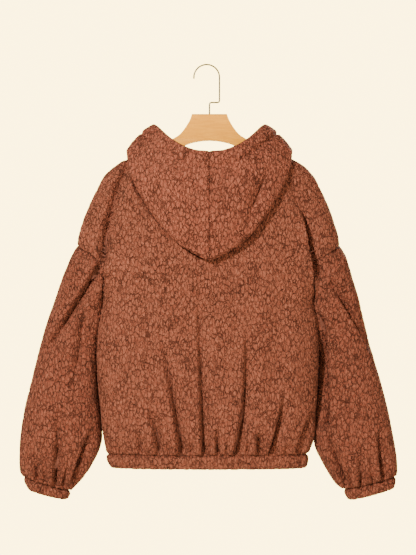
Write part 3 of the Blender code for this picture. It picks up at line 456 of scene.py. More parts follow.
def read_along(length, points, places):
    """Points of a line at the given places along it."""
    return np.stack([np.interp(places, length, points[:, n]) for n in range(3)], axis=-1)


def spaces(length):
    """How many spaces between points fit a length, as a multiple of the inner face's step."""
    return INSIDE_STEP * round(length / SPACING / INSIDE_STEP)


def respace(grid, axis):
    """The same surface, its points SPACING apart along one of its two ways, as smooth curves."""
    grid = np.moveaxis(grid, axis, 0)
    steps = np.linalg.norm(np.diff(grid, axis=0), axis=-1)
    length = np.concatenate([[0], np.cumsum(steps.mean(axis=1))])
    count = INSIDE_STEP * math.ceil(steps.sum(axis=0).max() / SPACING / INSIDE_STEP)
    at = np.linspace(0, length[-1], count + 1)
    k = np.clip(np.searchsorted(length, at) - 1, 0, len(length) - 2)
    step = (length[k + 1] - length[k])[:, None, None]
    t = (at - length[k])[:, None, None] / step
    return np.moveaxis(hermite(t, step, grid, np.gradient(grid, length, axis=0), k), 0, axis)


def surface_normals(grid, ring):
    """The direction that a grid's surface faces at each point."""
    if ring:
        across = np.roll(grid, -1, axis=1) - np.roll(grid, 1, axis=1)
    else:
        across = np.gradient(grid, axis=1)
    return unit(np.cross(across, np.gradient(grid, axis=0)))


def tube_normals(rings):
    """The outward direction at each point of a tube of rings."""
    normals = surface_normals(rings, True)
    from_middle = rings - rings.mean(axis=1, keepdims=True)
    return normals * np.sign((normals * from_middle).sum())


def distance_from(grid, edge):
    """How far each point of a grid is from one of its four edges, along the cloth."""
    axis = 0 if edge.endswith("row") else 1
    steps = np.linalg.norm(np.diff(grid, axis=axis), axis=-1)
    zero = np.zeros_like(np.take(steps, [0], axis=axis))
    along = np.concatenate([zero, np.cumsum(steps, axis=axis)], axis=axis)
    if edge.startswith("last"):
        along = np.take(along, [-1], axis=axis) - along
    return along


def fold_depth(folds, x, z):
    """How far the folds in a table sink the cloth at places x and z, less what their lips rise."""
    total = np.zeros(np.shape(x))
    t = np.linspace(0, 1, 61)
    weights = ((1 - t) * (1 - 2 * t), 4 * t * (1 - t), t * (2 * t - 1))
    for fold in rows_of(folds):
        path_x, path_z, deep = (sum(w * fold[stem + str(n)] for n, w in enumerate(weights))
                                for stem in ("x", "z", "deep"))
        deep = np.maximum(deep, 0)
        # past five spreads nothing is left of the fold
        reach = 5 * max(fold["inner"], fold["outer"])
        out = np.abs(path_x)
        close = (np.abs(x) > out.min() - reach) & (np.abs(x) < out.max() + reach)
        close &= (z > path_z.min() - reach) & (z < path_z.max() + reach)
        offset_x, offset_z = x[close][:, None] - path_x, z[close][:, None] - path_z
        nearest = np.hypot(offset_x, offset_z).argmin(axis=-1)
        row = np.arange(len(nearest))
        offset_x, offset_z = offset_x[row, nearest], offset_z[row, nearest]
        along_x, along_z = np.gradient(path_x)[nearest], np.gradient(path_z)[nearest]
        aside = np.abs(offset_x * along_z - offset_z * along_x) / np.hypot(along_x, along_z)
        past_end = (nearest == 0) | (nearest == len(t) - 1)
        distance = np.where(past_end, np.hypot(offset_x, offset_z), aside)
        away_from_stem = offset_x * np.sign(path_x.mean()) > 0
        spread = np.where(away_from_stem, fold["outer"], fold["inner"])
        shape = np.exp(-(distance / spread) ** 2)
        shape -= LIP_RISE * np.exp(-((distance - 2.0 * spread) / spread) ** 2)
        if fold["inner"] != fold["outer"]:
            shape += SLIT_SHARE * np.exp(-(distance / SLIT_WIDTH) ** 2)
        total[close] += deep[nearest] * shape
    return total


# The body

def middle_height(level, face):
    """How low a row hangs in the middle, so that the highest one is the neckline."""
    dip_start = BACK_DIP_START if face < 0 else FRONT_DIP_START
    neck = BACK_NECK if face < 0 else FRONT_NECK
    share = max(level - dip_start, 0) / (SHOULDER_TOP - dip_start)
    return level + (neck - SHOULDER_TOP) * share ** 2


def torso_point(level, angle, face):
    """A point of the body's outer face. The angle runs from the left side to the right side."""
    middle = middle_height(level, face)
    sweep, reach = np.sin(angle), np.maximum(np.cos(angle), 0)
    height = level + (middle - level) * reach ** 3
    half = np.where(sweep < 0, smooth(TORSO, "left", level), smooth(TORSO, "right", level))
    depth = smooth(TORSO, "back" if face < 0 else "front", height)
    x = STEM_X + half * np.sign(sweep) * np.abs(sweep) ** (2 / ROUNDNESS)
    y = smooth(TORSO, "side", level) + face * depth * reach ** (2 / ROUNDNESS)
    return np.stack([x, y, height], axis=-1)


def torso_normal(level, angle, face):
    """The outward direction of the body's face, without its folds."""
    nudge = 0.001                 # of the height and of the angle
    low, high = max(level - nudge, HEM_END), min(level + nudge, SHOULDER_TOP)
    before = np.clip(angle - nudge, -AT_SIDE, AT_SIDE)
    after = np.clip(angle + nudge, -AT_SIDE, AT_SIDE)
    upward = torso_point(high, angle, face) - torso_point(low, angle, face)
    across = torso_point(level, after, face) - torso_point(level, before, face)
    return unit(np.cross(across, upward) * -face)


def armhole_half(level):
    """Half the armhole's opening at a height, zero at the underarm and at the shoulder line."""
    return float(np.interp(level, ARMHOLE["height"], ARMHOLE["opening"], left=0, right=0))


def torso_row(level, face, first, last, count, folds):
    """One row of a panel's outer and inner points, evenly spaced between two angles."""
    angles = np.linspace(first, last, 400)
    length = run_length(torso_point(level, angles, face))
    at_left, at_right = first <= -AT_SIDE, last >= AT_SIDE
    opening = armhole_half(level)
    start = opening + SEAM / 2 if at_left else 0
    end = length[-1] - (opening + SEAM / 2 if at_right else 0)
    chosen = np.interp(np.linspace(start, end, count + 1), length, angles)
    points = torso_point(level, chosen, face)
    normals = torso_normal(level, chosen, face)
    # the wall's ends stand square to the zip, and face straight out where panels meet
    for k, at_side in ((0, at_left), (-1, at_right)):
        if not at_side:
            normals[k, 0] = 0
        elif opening == 0:
            normals[k, 1] = 0
    normals = unit(normals)
    sunk = fold_depth(folds, points[:, 0] - STEM_X, points[:, 2])
    sunk *= np.clip((points[:, 2] - HEM_SEAM) / GATHER_END, BODY_GATHERS_LEFT, 1)
    outer = points - normals * sunk[:, None]
    return outer, outer - normals * CLOTH


def zip_angle(level):
    """The angle at which a front ends, beside the zip."""
    half = min(smooth(TORSO, "left", level), smooth(TORSO, "right", level))
    return math.asin((ZIP_CHANNEL / half) ** (ROUNDNESS / 2))


def panel_faces(name, levels, columns):
    """A body panel's outer and inner faces, without pile."""
    face, folds = (-1, BACK_FOLDS) if name == "back" else (1, FRONT_FOLDS)
    rows = []
    for level in levels:
        first = zip_angle(level) if name == "front_right" else -AT_SIDE
        last = -zip_angle(level) if name == "front_left" else AT_SIDE
        rows.append(torso_row(level, face, first, last, columns, folds))
    return tuple(np.array([row[k] for row in rows]) for k in (0, 1))


def front_middle(height):
    """How far forward the fronts stand beside the zip."""
    return smooth(TORSO, "side", height) + smooth(TORSO, "front", height)


def solid_skin():
    """The solids' own body faces, from which the hood's clearance is measured."""
    points, faces = [], []
    for name, columns in (("back", 40), ("front_left", 19), ("front_right", 19)):
        outer, _ = panel_faces(name, LEVELS, columns)
        start = len(points)
        points += [Vector(p) for p in outer.reshape(-1, 3)]
        numbers = start + np.arange(outer[..., 0].size).reshape(outer.shape[:2])
        way = 1 if name == "back" else -1
        faces += [face[::way] for face in quads(numbers).tolist()]
    return BVHTree.FromPolygons(points, faces)


# Sleeves and cuffs

def armhole_loop(levels, grids, side, count):
    """The sleeve's first ring: the armhole's edge from its top, down the back and up the front.

    Each point is moved off the body's edge by the seam's gap. Returns the outer and inner points
    and the way into the hole.
    """
    column = 0 if side == "left" else -1
    low, high = (int(np.abs(levels - end).argmin()) for end in (UNDERARM, SHOULDER_DROP))
    edges = []
    for k in (0, 1):
        back = grids["back"][k][low:high + 1, column][::-1]
        front = grids["front_" + side][k][low:high + 1, column]
        top, bottom = (back[0] + front[-1]) / 2, (back[-1] + front[0]) / 2
        edges.append((np.vstack([[top], back[1:-1], [bottom]]),
                      np.vstack([[bottom], front[1:-1], [top]])))
    rings = []
    for halves in edges:
        stretches = []
        for guide, half in zip(edges[0], halves):
            length = run_length(guide)
            places = np.linspace(0, length[-1], count // 2 + 1)[:-1]
            stretches.append(read_along(length, half, places))
        rings.append(np.vstack(stretches))
    outer, inner = rings
    tangent = np.roll(outer, -1, axis=0) - np.roll(outer, 1, axis=0)
    into_hole = unit(np.cross(tangent, outer - inner))
    towards = outer.mean(axis=0) - outer
    into_hole *= np.sign((into_hole * towards).sum(axis=1))[:, None]
    turn = np.linspace(0, 2 * math.pi, count, endpoint=False)
    gap = (SEAM + UNDERARM_EASE * (1 - np.cos(turn)) / 2)[:, None]
    return outer + into_hole * gap, inner + into_hole * gap, into_hole


def section_rings(columns, outward, count):
    """Oval sections, each from its outer edge, round the back, to the front."""
    angle = np.linspace(0, 2 * math.pi, count, endpoint=False)
    across, deep = (np.sign(part) * np.abs(part) ** (2 / ROUNDNESS)
                    for part in (np.cos(angle), np.sin(angle)))
    rings = []
    for row in rows_of(columns):
        middle_x, middle_z = ((row["outer_" + n] + row["inner_" + n]) / 2 for n in "xz")
        half_x, half_z = ((row["outer_" + n] - row["inner_" + n]) / 2 for n in "xz")
        x = STEM_X + outward * (middle_x + half_x * across)
        y = row["middle_y"] - row["depth"] * deep
        rings.append(np.stack([x, y, middle_z + half_z * across], axis=-1))
    return np.array(rings)


def clear_of_torso(rings, side):
    """Move points of a sleeve out to the body's side wherever they would reach into it."""
    outward = OUTWARD[side]
    y, z = rings[..., 1], rings[..., 2]
    offset = y - smooth(TORSO, "side", z)
    depth = np.where(offset < 0, smooth(TORSO, "back", z), smooth(TORSO, "front", z))
    share = np.clip(1 - (np.abs(offset) / (depth + SLEEVE_CLEARANCE)) ** ROUNDNESS, 0, 1)
    reach = smooth(TORSO, side, z) * share ** (1 / ROUNDNESS) + SLEEVE_CLEARANCE
    limited = (z < UNDERARM) & (share > 0)
    distance = (rings[..., 0] - STEM_X) * outward
    rings[..., 0] = STEM_X + outward * np.where(limited, np.maximum(distance, reach), distance)
    return rings


# The hood

def hood_section(row):
    """The middle of the cloth from the neck seam, round the hood's fold and up to its rim."""
    neck, fold, rim = (np.array([row[part + "_x"], row[part + "_y"], row[part + "_z"]])
                       for part in ("neck", "fold", "rim"))
    into = unit(fold - (neck + rim) / 2)
    across = rim - neck
    across = unit(across - into * np.dot(across, into))
    centre = fold - into * row["roll"]
    under, over = centre - across * row["roll"], centre + across * row["roll"]
    points = [neck + (under - neck) * t for t in (0, 0.25, 0.5, 0.75)]
    for turn in np.linspace(-math.pi / 2, math.pi / 2, 6):
        points.append(centre + row["roll"] * (across * math.sin(turn) + into * math.cos(turn)))
    for t in (0.18, 0.38, 0.58, 0.80, 1.0):
        swell = row["bulge"] * math.sin(math.pi * t) ** 0.8
        points.append(over + (rim - over) * t + across * swell)
    return points


def lift_off(points, skin, clearance):
    """Raise a grid of points until it, and the faces between them, stand clear of the body."""
    shares = (0, 0.33, 0.67, 1)
    for _ in range(5):
        lift = np.zeros(points.shape)
        for r, c in np.ndindex(points.shape[0] - 1, points.shape[1] - 1):
            corners = points[r:r + 2, c:c + 2]
            for u, v in itertools.product(shares, shares):
                weights = np.array([[(1 - u) * (1 - v), (1 - u) * v], [u * (1 - v), u * v]])
                here = Vector((corners * weights[..., None]).sum(axis=(0, 1)))
                nearest, normal, _, _ = skin.find_nearest(here)
                short = clearance - (here - nearest).dot(normal)
                if short <= 0:
                    continue
                for i, k in itertools.product((0, 1), (0, 1)):
                    push = np.array(normal) * short * min(1, 1.5 * weights[i, k])
                    if np.linalg.norm(push) > np.linalg.norm(lift[r + i, c + k]):
                        lift[r + i, c + k] = push
        points = points + lift
    return points


def hood_middle(side, skin):
    """The middle of one half's cloth, from the centre seam round to the zip, clear of the body."""
    rows = rows_of(read_between(HOOD, HOOD_STATIONS))
    middle = np.array([hood_section(row) for row in rows])
    middle[..., 0] = STEM_X + OUTWARD[side] * (middle[..., 0] + SEAM / 2)
    middle = lift_off(middle, skin, CLOTH / 2 + HOOD_CLEARANCE)
    middle[0, :, 0] = STEM_X
    return respace(respace(middle, 0), 1)


# The pile

def scattered(cells, seed):
    """Three steady numbers from 0 to 1 for each whole-numbered cell, by a usual integer hash."""
    primes = np.array([73856093, 19349663, 83492791], np.uint32)
    bits = np.bitwise_xor.reduce(cells.astype(np.uint32) * primes, axis=-1) ^ np.uint32(seed)
    found = []
    for _ in range(3):
        for _ in range(2):
            bits = (bits ^ (bits >> np.uint32(16))) * np.uint32(73244475)
        bits = bits ^ (bits >> np.uint32(16))
        found.append(bits / 2 ** 32)
        bits = bits + np.uint32(2654435769)
    return np.stack(found, axis=-1)


def curl_distances(points, size, seed):
    """How far points are from the middles of the nearest curl and the next one, in curls."""
    places = points / size
    home = np.floor(places).astype(np.int64)
    near = np.full(len(points), 9.0)
    following = near.copy()
    for offset in itertools.product((-1, 0, 1), repeat=3):
        cell = home + np.array(offset)
        far = np.linalg.norm(cell + scattered(cell, seed) - places, axis=-1)
        following = np.minimum(following, np.maximum(near, far))
        near = np.minimum(near, far)
    return near, following


def drift(points, length, seed):
    """A value that wanders smoothly between about -1 and 1 over a length."""
    draws = np.random.default_rng(seed)
    total = np.zeros(len(points))
    for _ in range(6):
        way = unit(draws.normal(size=3))
        waves = 2 * math.pi / length * draws.uniform(0.6, 1.5)
        total += np.sin(points @ way * waves + draws.uniform(0, 2 * math.pi))
    return total / 2.4


def curl_height(points):
    """The pile's height from 0, in the gaps between curls, to 1 on their crowns."""
    bent = points + np.stack([drift(points, 3 * TUFT, seed) for seed in (1, 2, 3)], -1) * 1.3 * MM
    near, following = curl_distances(bent * (1, 1, 0.80), TUFT, 5)
    gap = np.exp(-((following - near) / 0.16) ** 2)
    crown = 1 - 0.35 * np.clip(near / 0.85, 0, 1) ** 2
    deep = np.clip(0.60 + 0.42 * drift(points, 13 * MM, 7), 0.05, 1)
    return 1 - deep * (1 - (1 - gap) * crown)


# From faces to dressed pieces

def tucked(skin, lining, free, turned_in):
    """Round the free edges. Returns both faces, and where the inner one is turned-in cloth."""
    middle, half = (skin + lining) / 2, (skin - lining) / 2
    folded = np.zeros(skin.shape[:2], bool)
    for edge in free:
        away = distance_from(skin, edge)
        thickness = np.sqrt(1 - (1 - np.clip(away / EDGE_ROUND, 0, 1)) ** 2)
        half = half * np.maximum(thickness, EDGE_THIN)[..., None]
        folded |= away < turned_in
    return middle + half, middle - half, folded


def piled(skin, normals, sewn):
    """Raise the pile on a face, and roll it into its sewn edges. Returns its points and its painted
    shade, low in the gaps between curls and along the rolls.
    """
    roll = np.zeros(skin.shape[:2])
    for edge in sewn:
        away = distance_from(skin, edge)
        roll = np.maximum(roll, SEAM_ROLL * np.exp(-(away / SEAM_ROLL) ** 2))
    height = curl_height(skin.reshape(-1, 3)).reshape(roll.shape)
    outer = skin + normals * (PILE_CROWN - PILE_DEEP * (1 - height) - roll)[..., None]
    for edge in sewn:
        lines = np.moveaxis(outer, 1, 0) if edge.endswith("col") else outer
        last, before = (0, 1) if edge.startswith("first") else (-1, -2)
        lines[last] += unit(lines[last] - lines[before]) * SEAM_REACH
    return outer, np.clip(height - roll / PILE_DEEP * SEAM_PAINTED_SHADE, 0, 1)


def quads(numbers):
    """The four-cornered faces of a grid of point numbers."""
    corners = (numbers[:-1, :-1], numbers[:-1, 1:], numbers[1:, 1:], numbers[1:, :-1])
    return np.stack(corners, -1).reshape(-1, 4)


def settled(body, mesh):
    """Write a bmesh to a mesh, its faces turned outward."""
    bmesh.ops.recalc_face_normals(body, faces=body.faces)
    body.to_mesh(mesh)
    body.free()
    return mesh


def wall(name, outer, inner, folded, ring, step):
    """A closed wall: a fine outer face, a coarser inner one, and a rim along its open edges.

    The inner face has the second material, but the first where it is folded.
    """
    points = np.concatenate([outer.reshape(-1, 3), inner.reshape(-1, 3)])
    numbers = np.arange(len(points))
    out = numbers[:outer[..., 0].size].reshape(outer.shape[:2])
    inn = numbers[out.size:].reshape(inner.shape[:2])
    if ring:
        out, inn, folded = (np.concatenate([grid, grid[:, :1]], axis=1)
                            for grid in (out, inn, folded))
    rims = [(out[0], inn[0], 1), (out[-1], inn[-1], -1)]
    if not ring:
        rims += [(out[:, 0], inn[:, 0], -1), (out[:, -1], inn[:, -1], 1)]
    outside, inside, rim = quads(out).tolist(), quads(inn)[:, ::-1].tolist(), []
    for fine, coarse, way in rims:
        for k in range(len(coarse) - 1):
            run = fine[k * step:(k + 1) * step + 1].tolist()
            rim.append((run[::-1] + [int(coarse[k]), int(coarse[k + 1])])[::way])
    mesh = bpy.data.meshes.new(name)
    mesh.from_pydata(points, [], outside + inside + rim)
    backing = ~(folded[:-1, :-1] & folded[1:, 1:]).reshape(-1)
    marks = np.zeros(len(mesh.polygons), np.int32)
    marks[len(outside):len(outside) + len(inside)] = backing
    mesh.polygons.foreach_set("material_index", marks)
    body = bmesh.new()
    body.from_mesh(mesh)
    settled(body, mesh).shade_smooth()
    return mesh


def placed(name, mesh, materials, replaced):
    """An object that rides with the jacket, in place of a node where one is named."""
    for material in materials:
        mesh.materials.append(material)
    item = bpy.data.objects.new(name, mesh)
    bpy.context.scene.collection.objects.link(item)
    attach(item, "jacket")
    if replaced:
        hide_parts(replaced)
    return item


def cloth(piece, slot, cloths, skin, lining, rests_on, sewn, free=(), ring=False,
          step=INSIDE_STEP, turned_in=0.0, flat_seam=False):
    """Dress one node with its own wall of sherpa, pile outside and knit backing inside.

    Sewn edges roll into their seam and free edges are rounded. For the width turned_in, the inside
    of a free edge is cloth that was folded in. A flat seam keeps the first row in its plane.
    """
    name = "sherpa_" + piece
    normals = surface_normals(skin, ring)
    normals *= np.sign((normals * (skin - lining)).sum(axis=-1, keepdims=True))
    skin, lining, folded = tucked(skin, lining, free, turned_in)
    outer, shade = piled(skin, normals, sewn)
    if flat_seam:
        outer[0, :, 0] = skin[0, :, 0]
    inner = lining[::step, ::step]
    mesh = wall(name, outer, inner, folded[::step, ::step], ring, step)
    # the curl attribute carries the pile's painted shade: low in the gaps between curls and along
    # the seams' rolls
    curl = mesh.attributes.new("curl", "FLOAT", "POINT")
    backing_shade = np.full(inner[..., 0].size, BACKING_SHADE)
    curl.data.foreach_set("value", np.concatenate([shade.reshape(-1), backing_shade]))
    item = placed(name, mesh, cloths[slot], piece)


# Finishes

def linear(hex_colour):
    """An sRGB hex colour as linear numbers."""
    parts = [int(hex_colour[k:k + 2], 16) / 255 for k in (1, 3, 5)]
    return (*[p / 12.92 if p <= 0.04045 else ((p + 0.055) / 1.055) ** 2.4 for p in parts], 1)


def plug(tree, item, inputs):
    """Give a node's inputs, by name or in their order, the values or the links they are to have."""
    for name, value in inputs.items() if isinstance(inputs, dict) else enumerate(inputs):
        if isinstance(value, bpy.types.NodeSocket):
            tree.links.new(value, item.inputs[name])
        else:
            item.inputs[name].default_value = value


def node(tree, kind, inputs=(), output=0, **settings):
    """Add a node with its settings and its inputs' values or links. Returns one of its outputs."""
    item = tree.nodes.new("ShaderNode" + kind)
    for name, value in settings.items():
        setattr(item, name, value)
    plug(tree, item, inputs)
    return item.outputs[output]


def finish(name, constants):
    """A material and its shader, with the values that are the same all over."""
    material = bpy.data.materials.new(name)
    material.use_nodes = True
    tree = material.node_tree
    shader = tree.nodes["Principled BSDF"]
    plug(tree, shader, constants)
    return material, tree, shader


def cells(size):
    """The scale of a pattern whose cells are this size."""
    return 1 / size


def bands(pitch):
    """The scale of a wave whose bands are this far apart. At scale 1 it turns 20 radians a metre."""
    return 2 * math.pi / (20 * pitch)


def sherpa(name, gap, middle, crown, loose):
    """Sherpa: knitted polyester with a tumbled curly pile, which is matt; painted shade darkens the
    cracks between curls, and a painted highlight lightens the curls' knots.

    The looser the curls, the wider the cracks between them.
    """
    material, tree, shader = finish(name, {
        "Roughness": 0.95, "IOR": 1.5, "Specular IOR Level": 0.15,
        "Sheen Weight": 0.12, "Sheen Roughness": 0.6, "Sheen Tint": linear("#C98A6C")})
    place = node(tree, "TexCoord", output="Object")
    curl = node(tree, "Attribute", output="Fac", attribute_name="curl")
    # the curls sway by some 2 mm, and are twice as tall as they are wide
    sway = node(tree, "TexNoise", {
        "Vector": place, "Scale": cells(4.545 * MM), "Detail": 1.0}, "Color")
    pull = node(tree, "VectorMath", {0: sway, "Scale": 5.5 * MM}, operation="SCALE")
    bent = node(tree, "VectorMath", (place, pull), operation="ADD")
    upright = node(tree, "Mapping", {"Vector": bent, "Scale": (1, 1, 0.46)})
    # curls about 6.5 mm across, parted by thin cracks that come and go, which carry painted shade
    parting = node(tree, "TexVoronoi", {
        "Vector": upright, "Scale": cells(6.452 * MM)}, feature="DISTANCE_TO_EDGE")
    come_and_go = node(tree, "TexNoise", {
        "Vector": place, "Scale": cells(22.22 * MM), "Detail": 2.0, "Roughness": 0.8})
    width = node(tree, "MapRange", (come_and_go, 0.34, 0.64, 0.07 * loose, 0.135 * loose))
    faint = node(tree, "MapRange", (come_and_go, 0.34, 0.64, 0.55, 0.0))
    crack = node(tree, "MapRange", (parting, 0.0, width))
    open_gap = node(tree, "MapRange", (crack, 0.0, 1.0, faint, 1.0))
    # fibre ends, each a little knot whose top gets a painted highlight; real ones are about 1 mm
    # across, which is too fine to show
    knot = node(tree, "TexVoronoi", {
        "Vector": upright, "Scale": cells(2.5 * MM)}, feature="SMOOTH_F1")
    # painted shade: the colour goes towards the gap colour in the cracks and where seams roll in;
    # painted highlight: the crown colour on the knots' tops
    low = node(tree, "MapRange", (curl, 0.0, 0.75, 0.60, 1.0))
    depth = node(tree, "Math", (low, open_gap), operation="MULTIPLY")
    high = node(tree, "MapRange", (knot, 0.55, 0.15, 0.0, 1.0))
    lit = node(tree, "Math", (depth, high), operation="MULTIPLY")
    painted_crack_shade = node(tree, "Mix", {0: depth, 6: linear(gap), 7: linear(middle)}, 2, data_type="RGBA")
    colour = node(tree, "Mix", {0: lit, 6: painted_crack_shade, 7: linear(crown)}, 2, data_type="RGBA")
    # patches some 40 mm across are a little paler or darker
    cloud = node(tree, "TexNoise", {"Vector": place, "Scale": cells(38.46 * MM), "Detail": 2.0})
    patch = node(tree, "MapRange", (cloud, 0.3, 0.7, 0.94, 1.06))
    toned = node(tree, "VectorMath", {0: colour, "Scale": patch}, operation="SCALE")
    knot_rise = node(tree, "MapRange", (knot, 0.0, 0.8, 1.2, 0.0))
    curl_rise = node(tree, "MapRange", (open_gap, 0.0, 1.0, 0.0, 1.7))
    height = node(tree, "Math", (knot_rise, curl_rise), operation="ADD")
    bump = node(tree, "Bump", {"Strength": 1.0, "Distance": 2.8 * MM, "Height": height})
    plug(tree, shader, {"Base Color": toned, "Normal": bump})
    return material


def knit_backing(name, colour, dark):
    """The back of the sherpa: a plain weft knit, whose fine ribs run up the cloth."""
    material, tree, shader = finish(name, {"Roughness": 0.9, "Sheen Weight": 0.1})
    place = node(tree, "TexCoord", output="Object")
    # a real one's wales are about 0.8 mm apart, which is too fine to show
    wales = node(tree, "TexWave", {
        "Vector": place, "Scale": bands(2.856 * MM), "Distortion": 1.2, "Detail": 2.0,
        "Detail Scale": 3.0}, "Fac", bands_direction="X", wave_profile="SIN")
    cloud = node(tree, "TexNoise", {"Vector": place, "Scale": cells(16.67 * MM)})
    blend = node(tree, "Math", (wales, cloud), operation="MULTIPLY")
    share = node(tree, "MapRange", (blend, 0.1, 0.6))
    knit = node(tree, "Mix", {0: share, 6: linear(dark), 7: linear(colour)}, 2, data_type="RGBA")
    bump = node(tree, "Bump", {"Strength": 0.5, "Distance": 0.4 * MM, "Height": wales})
    plug(tree, shader, {"Base Color": knit, "Normal": bump})
    return material


def beech(name):
    """Beech: pale planed board, fine straight grain along the arms, under a thin satin varnish."""
    material, tree, shader = finish(name, {
        "Roughness": 0.42, "IOR": 1.5, "Specular IOR Level": 0.15,
        "Coat Weight": 0.02, "Coat Roughness": 0.22})
    place = node(tree, "TexCoord", output="Object")
    # grain 2.8 mm wide and ten times as long, and pores 0.4 mm wide and fifteen times as long
    along_grain = node(tree, "Mapping", {"Vector": place, "Scale": (1 / 10, 1, 1)})
    grain = node(tree, "TexNoise", {
        "Vector": along_grain, "Scale": cells(2.778 * MM), "Detail": 5.0, "Roughness": 0.62,
        "Distortion": 0.4})
    along_pores = node(tree, "Mapping", {"Vector": place, "Scale": (1 / 15, 1, 1)})
    pores = node(tree, "TexNoise", {
        "Vector": along_pores, "Scale": cells(0.3704 * MM), "Detail": 2.0})
    broad = node(tree, "MapRange", (grain, 0.35, 0.68, 0.0, 1.0))
    fleck = node(tree, "MapRange", (pores, 0.58, 0.74, 0.0, 0.4))
    board_colour = node(tree, "Mix", {
        0: broad, 6: linear("#D28C16"), 7: linear("#E49E20")}, 2, data_type="RGBA")
    flecked = node(tree, "Mix", {
        0: fleck, 6: board_colour, 7: linear("#A8620F")}, 2, data_type="RGBA")
    bump = node(tree, "Bump", {"Strength": 0.12, "Distance": 0.4 * MM, "Height": grain})
    plug(tree, shader, {"Base Color": flecked, "Normal": bump})
    return material


def chrome_wire(name):
    """Chrome-plated steel wire: bright, and a little blurred by the marks of its drawing."""
    material, tree, shader = finish(name, {
        "Metallic": 1.0, "Roughness": 0.4,
        "Base Color": linear("#57544F"), "Specular Tint": linear("#57544F")})
    place = node(tree, "TexCoord", output="Object")
    marks = node(tree, "TexNoise", {"Vector": place, "Scale": cells(1.25 * MM), "Detail": 2.0})
    plug(tree, shader, {"Roughness": node(tree, "MapRange", (marks, 0.3, 0.7, 0.34, 0.46))})
    return material


def aged_brass(name):
    """Die-cast zip metal with an aged brass plate: brown and dull, with patches worn brighter."""
    material, tree, shader = finish(name, {"Metallic": 1.0, "Roughness": 0.38})
    place = node(tree, "TexCoord", output="Object")
    wear = node(tree, "TexNoise", {"Vector": place, "Scale": cells(2.632 * MM), "Detail": 4.0})
    worn = node(tree, "MapRange", (wear, 0.35, 0.7))
    plate = node(tree, "Mix", {
        0: worn, 6: linear("#5E4C34"), 7: linear("#8C7552")}, 2, data_type="RGBA")
    polish = node(tree, "MapRange", (wear, 0.3, 0.7, 0.48, 0.28))
    plug(tree, shader, {"Base Color": plate, "Roughness": polish})
    return material


def woven_tape(name):
    """Polyester zip tape: a close herringbone weave, dyed to the jacket."""
    material, tree, shader = finish(name, {"Roughness": 0.8})
    place = node(tree, "TexCoord", output="Object")
    # a real tape's threads are about 0.4 mm apart, which is too fine to show
    slanted = node(tree, "Mapping", {"Vector": place, "Rotation": (0, 0.6, 0)})
    threads = node(tree, "TexWave", {
        "Vector": slanted, "Scale": bands(1.848 * MM), "Distortion": 0.4}, "Fac",
        bands_direction="X")
    weave = node(tree, "Mix", {
        0: threads, 6: linear("#4A2619"), 7: linear("#6C3B29")}, 2, data_type="RGBA")
    bump = node(tree, "Bump", {"Strength": 0.5, "Distance": 0.3 * MM, "Height": threads})
    plug(tree, shader, {"Base Color": weave, "Normal": bump})
    return material


# Cloth pieces

def fine_levels():
    """The body's rows, close enough for the pile, with the armhole's two ends among them."""
    found = [LEVELS[0]]
    for low, high in zip(LEVELS, LEVELS[1:]):
        count = max(INSIDE_STEP, spaces(high - low))
        found += list(np.linspace(low, high, count + 1)[1:])
    return np.array(found)


def body_panels(cloths):
    """The back and the two fronts. Returns their levels and faces, for what is sewn to them."""
    levels = fine_levels()
    grids = {}
    for name, (girth, sewn, free) in PANELS.items():
        grids[name] = panel_faces(name, levels, spaces(girth))
        cloth(name, "body", cloths, *grids[name], ["hanger"], sewn, free,
              turned_in=FRONT_TURNED_IN)
    return levels, grids


def hem_band(cloths):
    """The elasticated band, from the zip round the back to the zip again."""
    skin, lining = [], []
    for k, level in enumerate(BAND_LEVELS):
        fine, normals = [], []
        for face, first, last in ((1, -zip_angle(level), -AT_SIDE), (-1, -AT_SIDE, AT_SIDE),
                                  (1, AT_SIDE, zip_angle(level))):
            angles = np.linspace(first, last, 300)
            fine.append(torso_point(level, angles, face))
            normals.append(torso_normal(level, angles, face))
        fine = np.concatenate(fine)
        length = run_length(fine)
        places = np.linspace(0, length[-1], spaces(BAND_GIRTH) + 1)
        points = read_along(length, fine, places)
        outward = unit(read_along(length, np.concatenate(normals), places))
        # the elastic draws the band into shallow uneven gathers
        pucker = np.sin(places / (3.6 * MM) + 1.4 * np.sin(places / (23 * MM))) ** 2
        pucker *= BAND_PUCKER * (0.6 + 0.4 * np.sin(places / (31 * MM)))
        swell = BAND_SWELL if 0 < k < len(BAND_LEVELS) - 1 else 0
        rise = swell - pucker * (k > 0)
        skin.append(points + outward * rise[:, None])
        lining.append(points - outward * CLOTH * 0.8)
    skin, lining = (respace(np.array(rows), 0) for rows in (skin, lining))
    cloth("hem_band", "body", cloths, skin, lining, ["hanger"], ("first_row",),
          ("last_row", "first_col", "last_col"), step=FINE_STEP, turned_in=ALL_TURNED_IN)


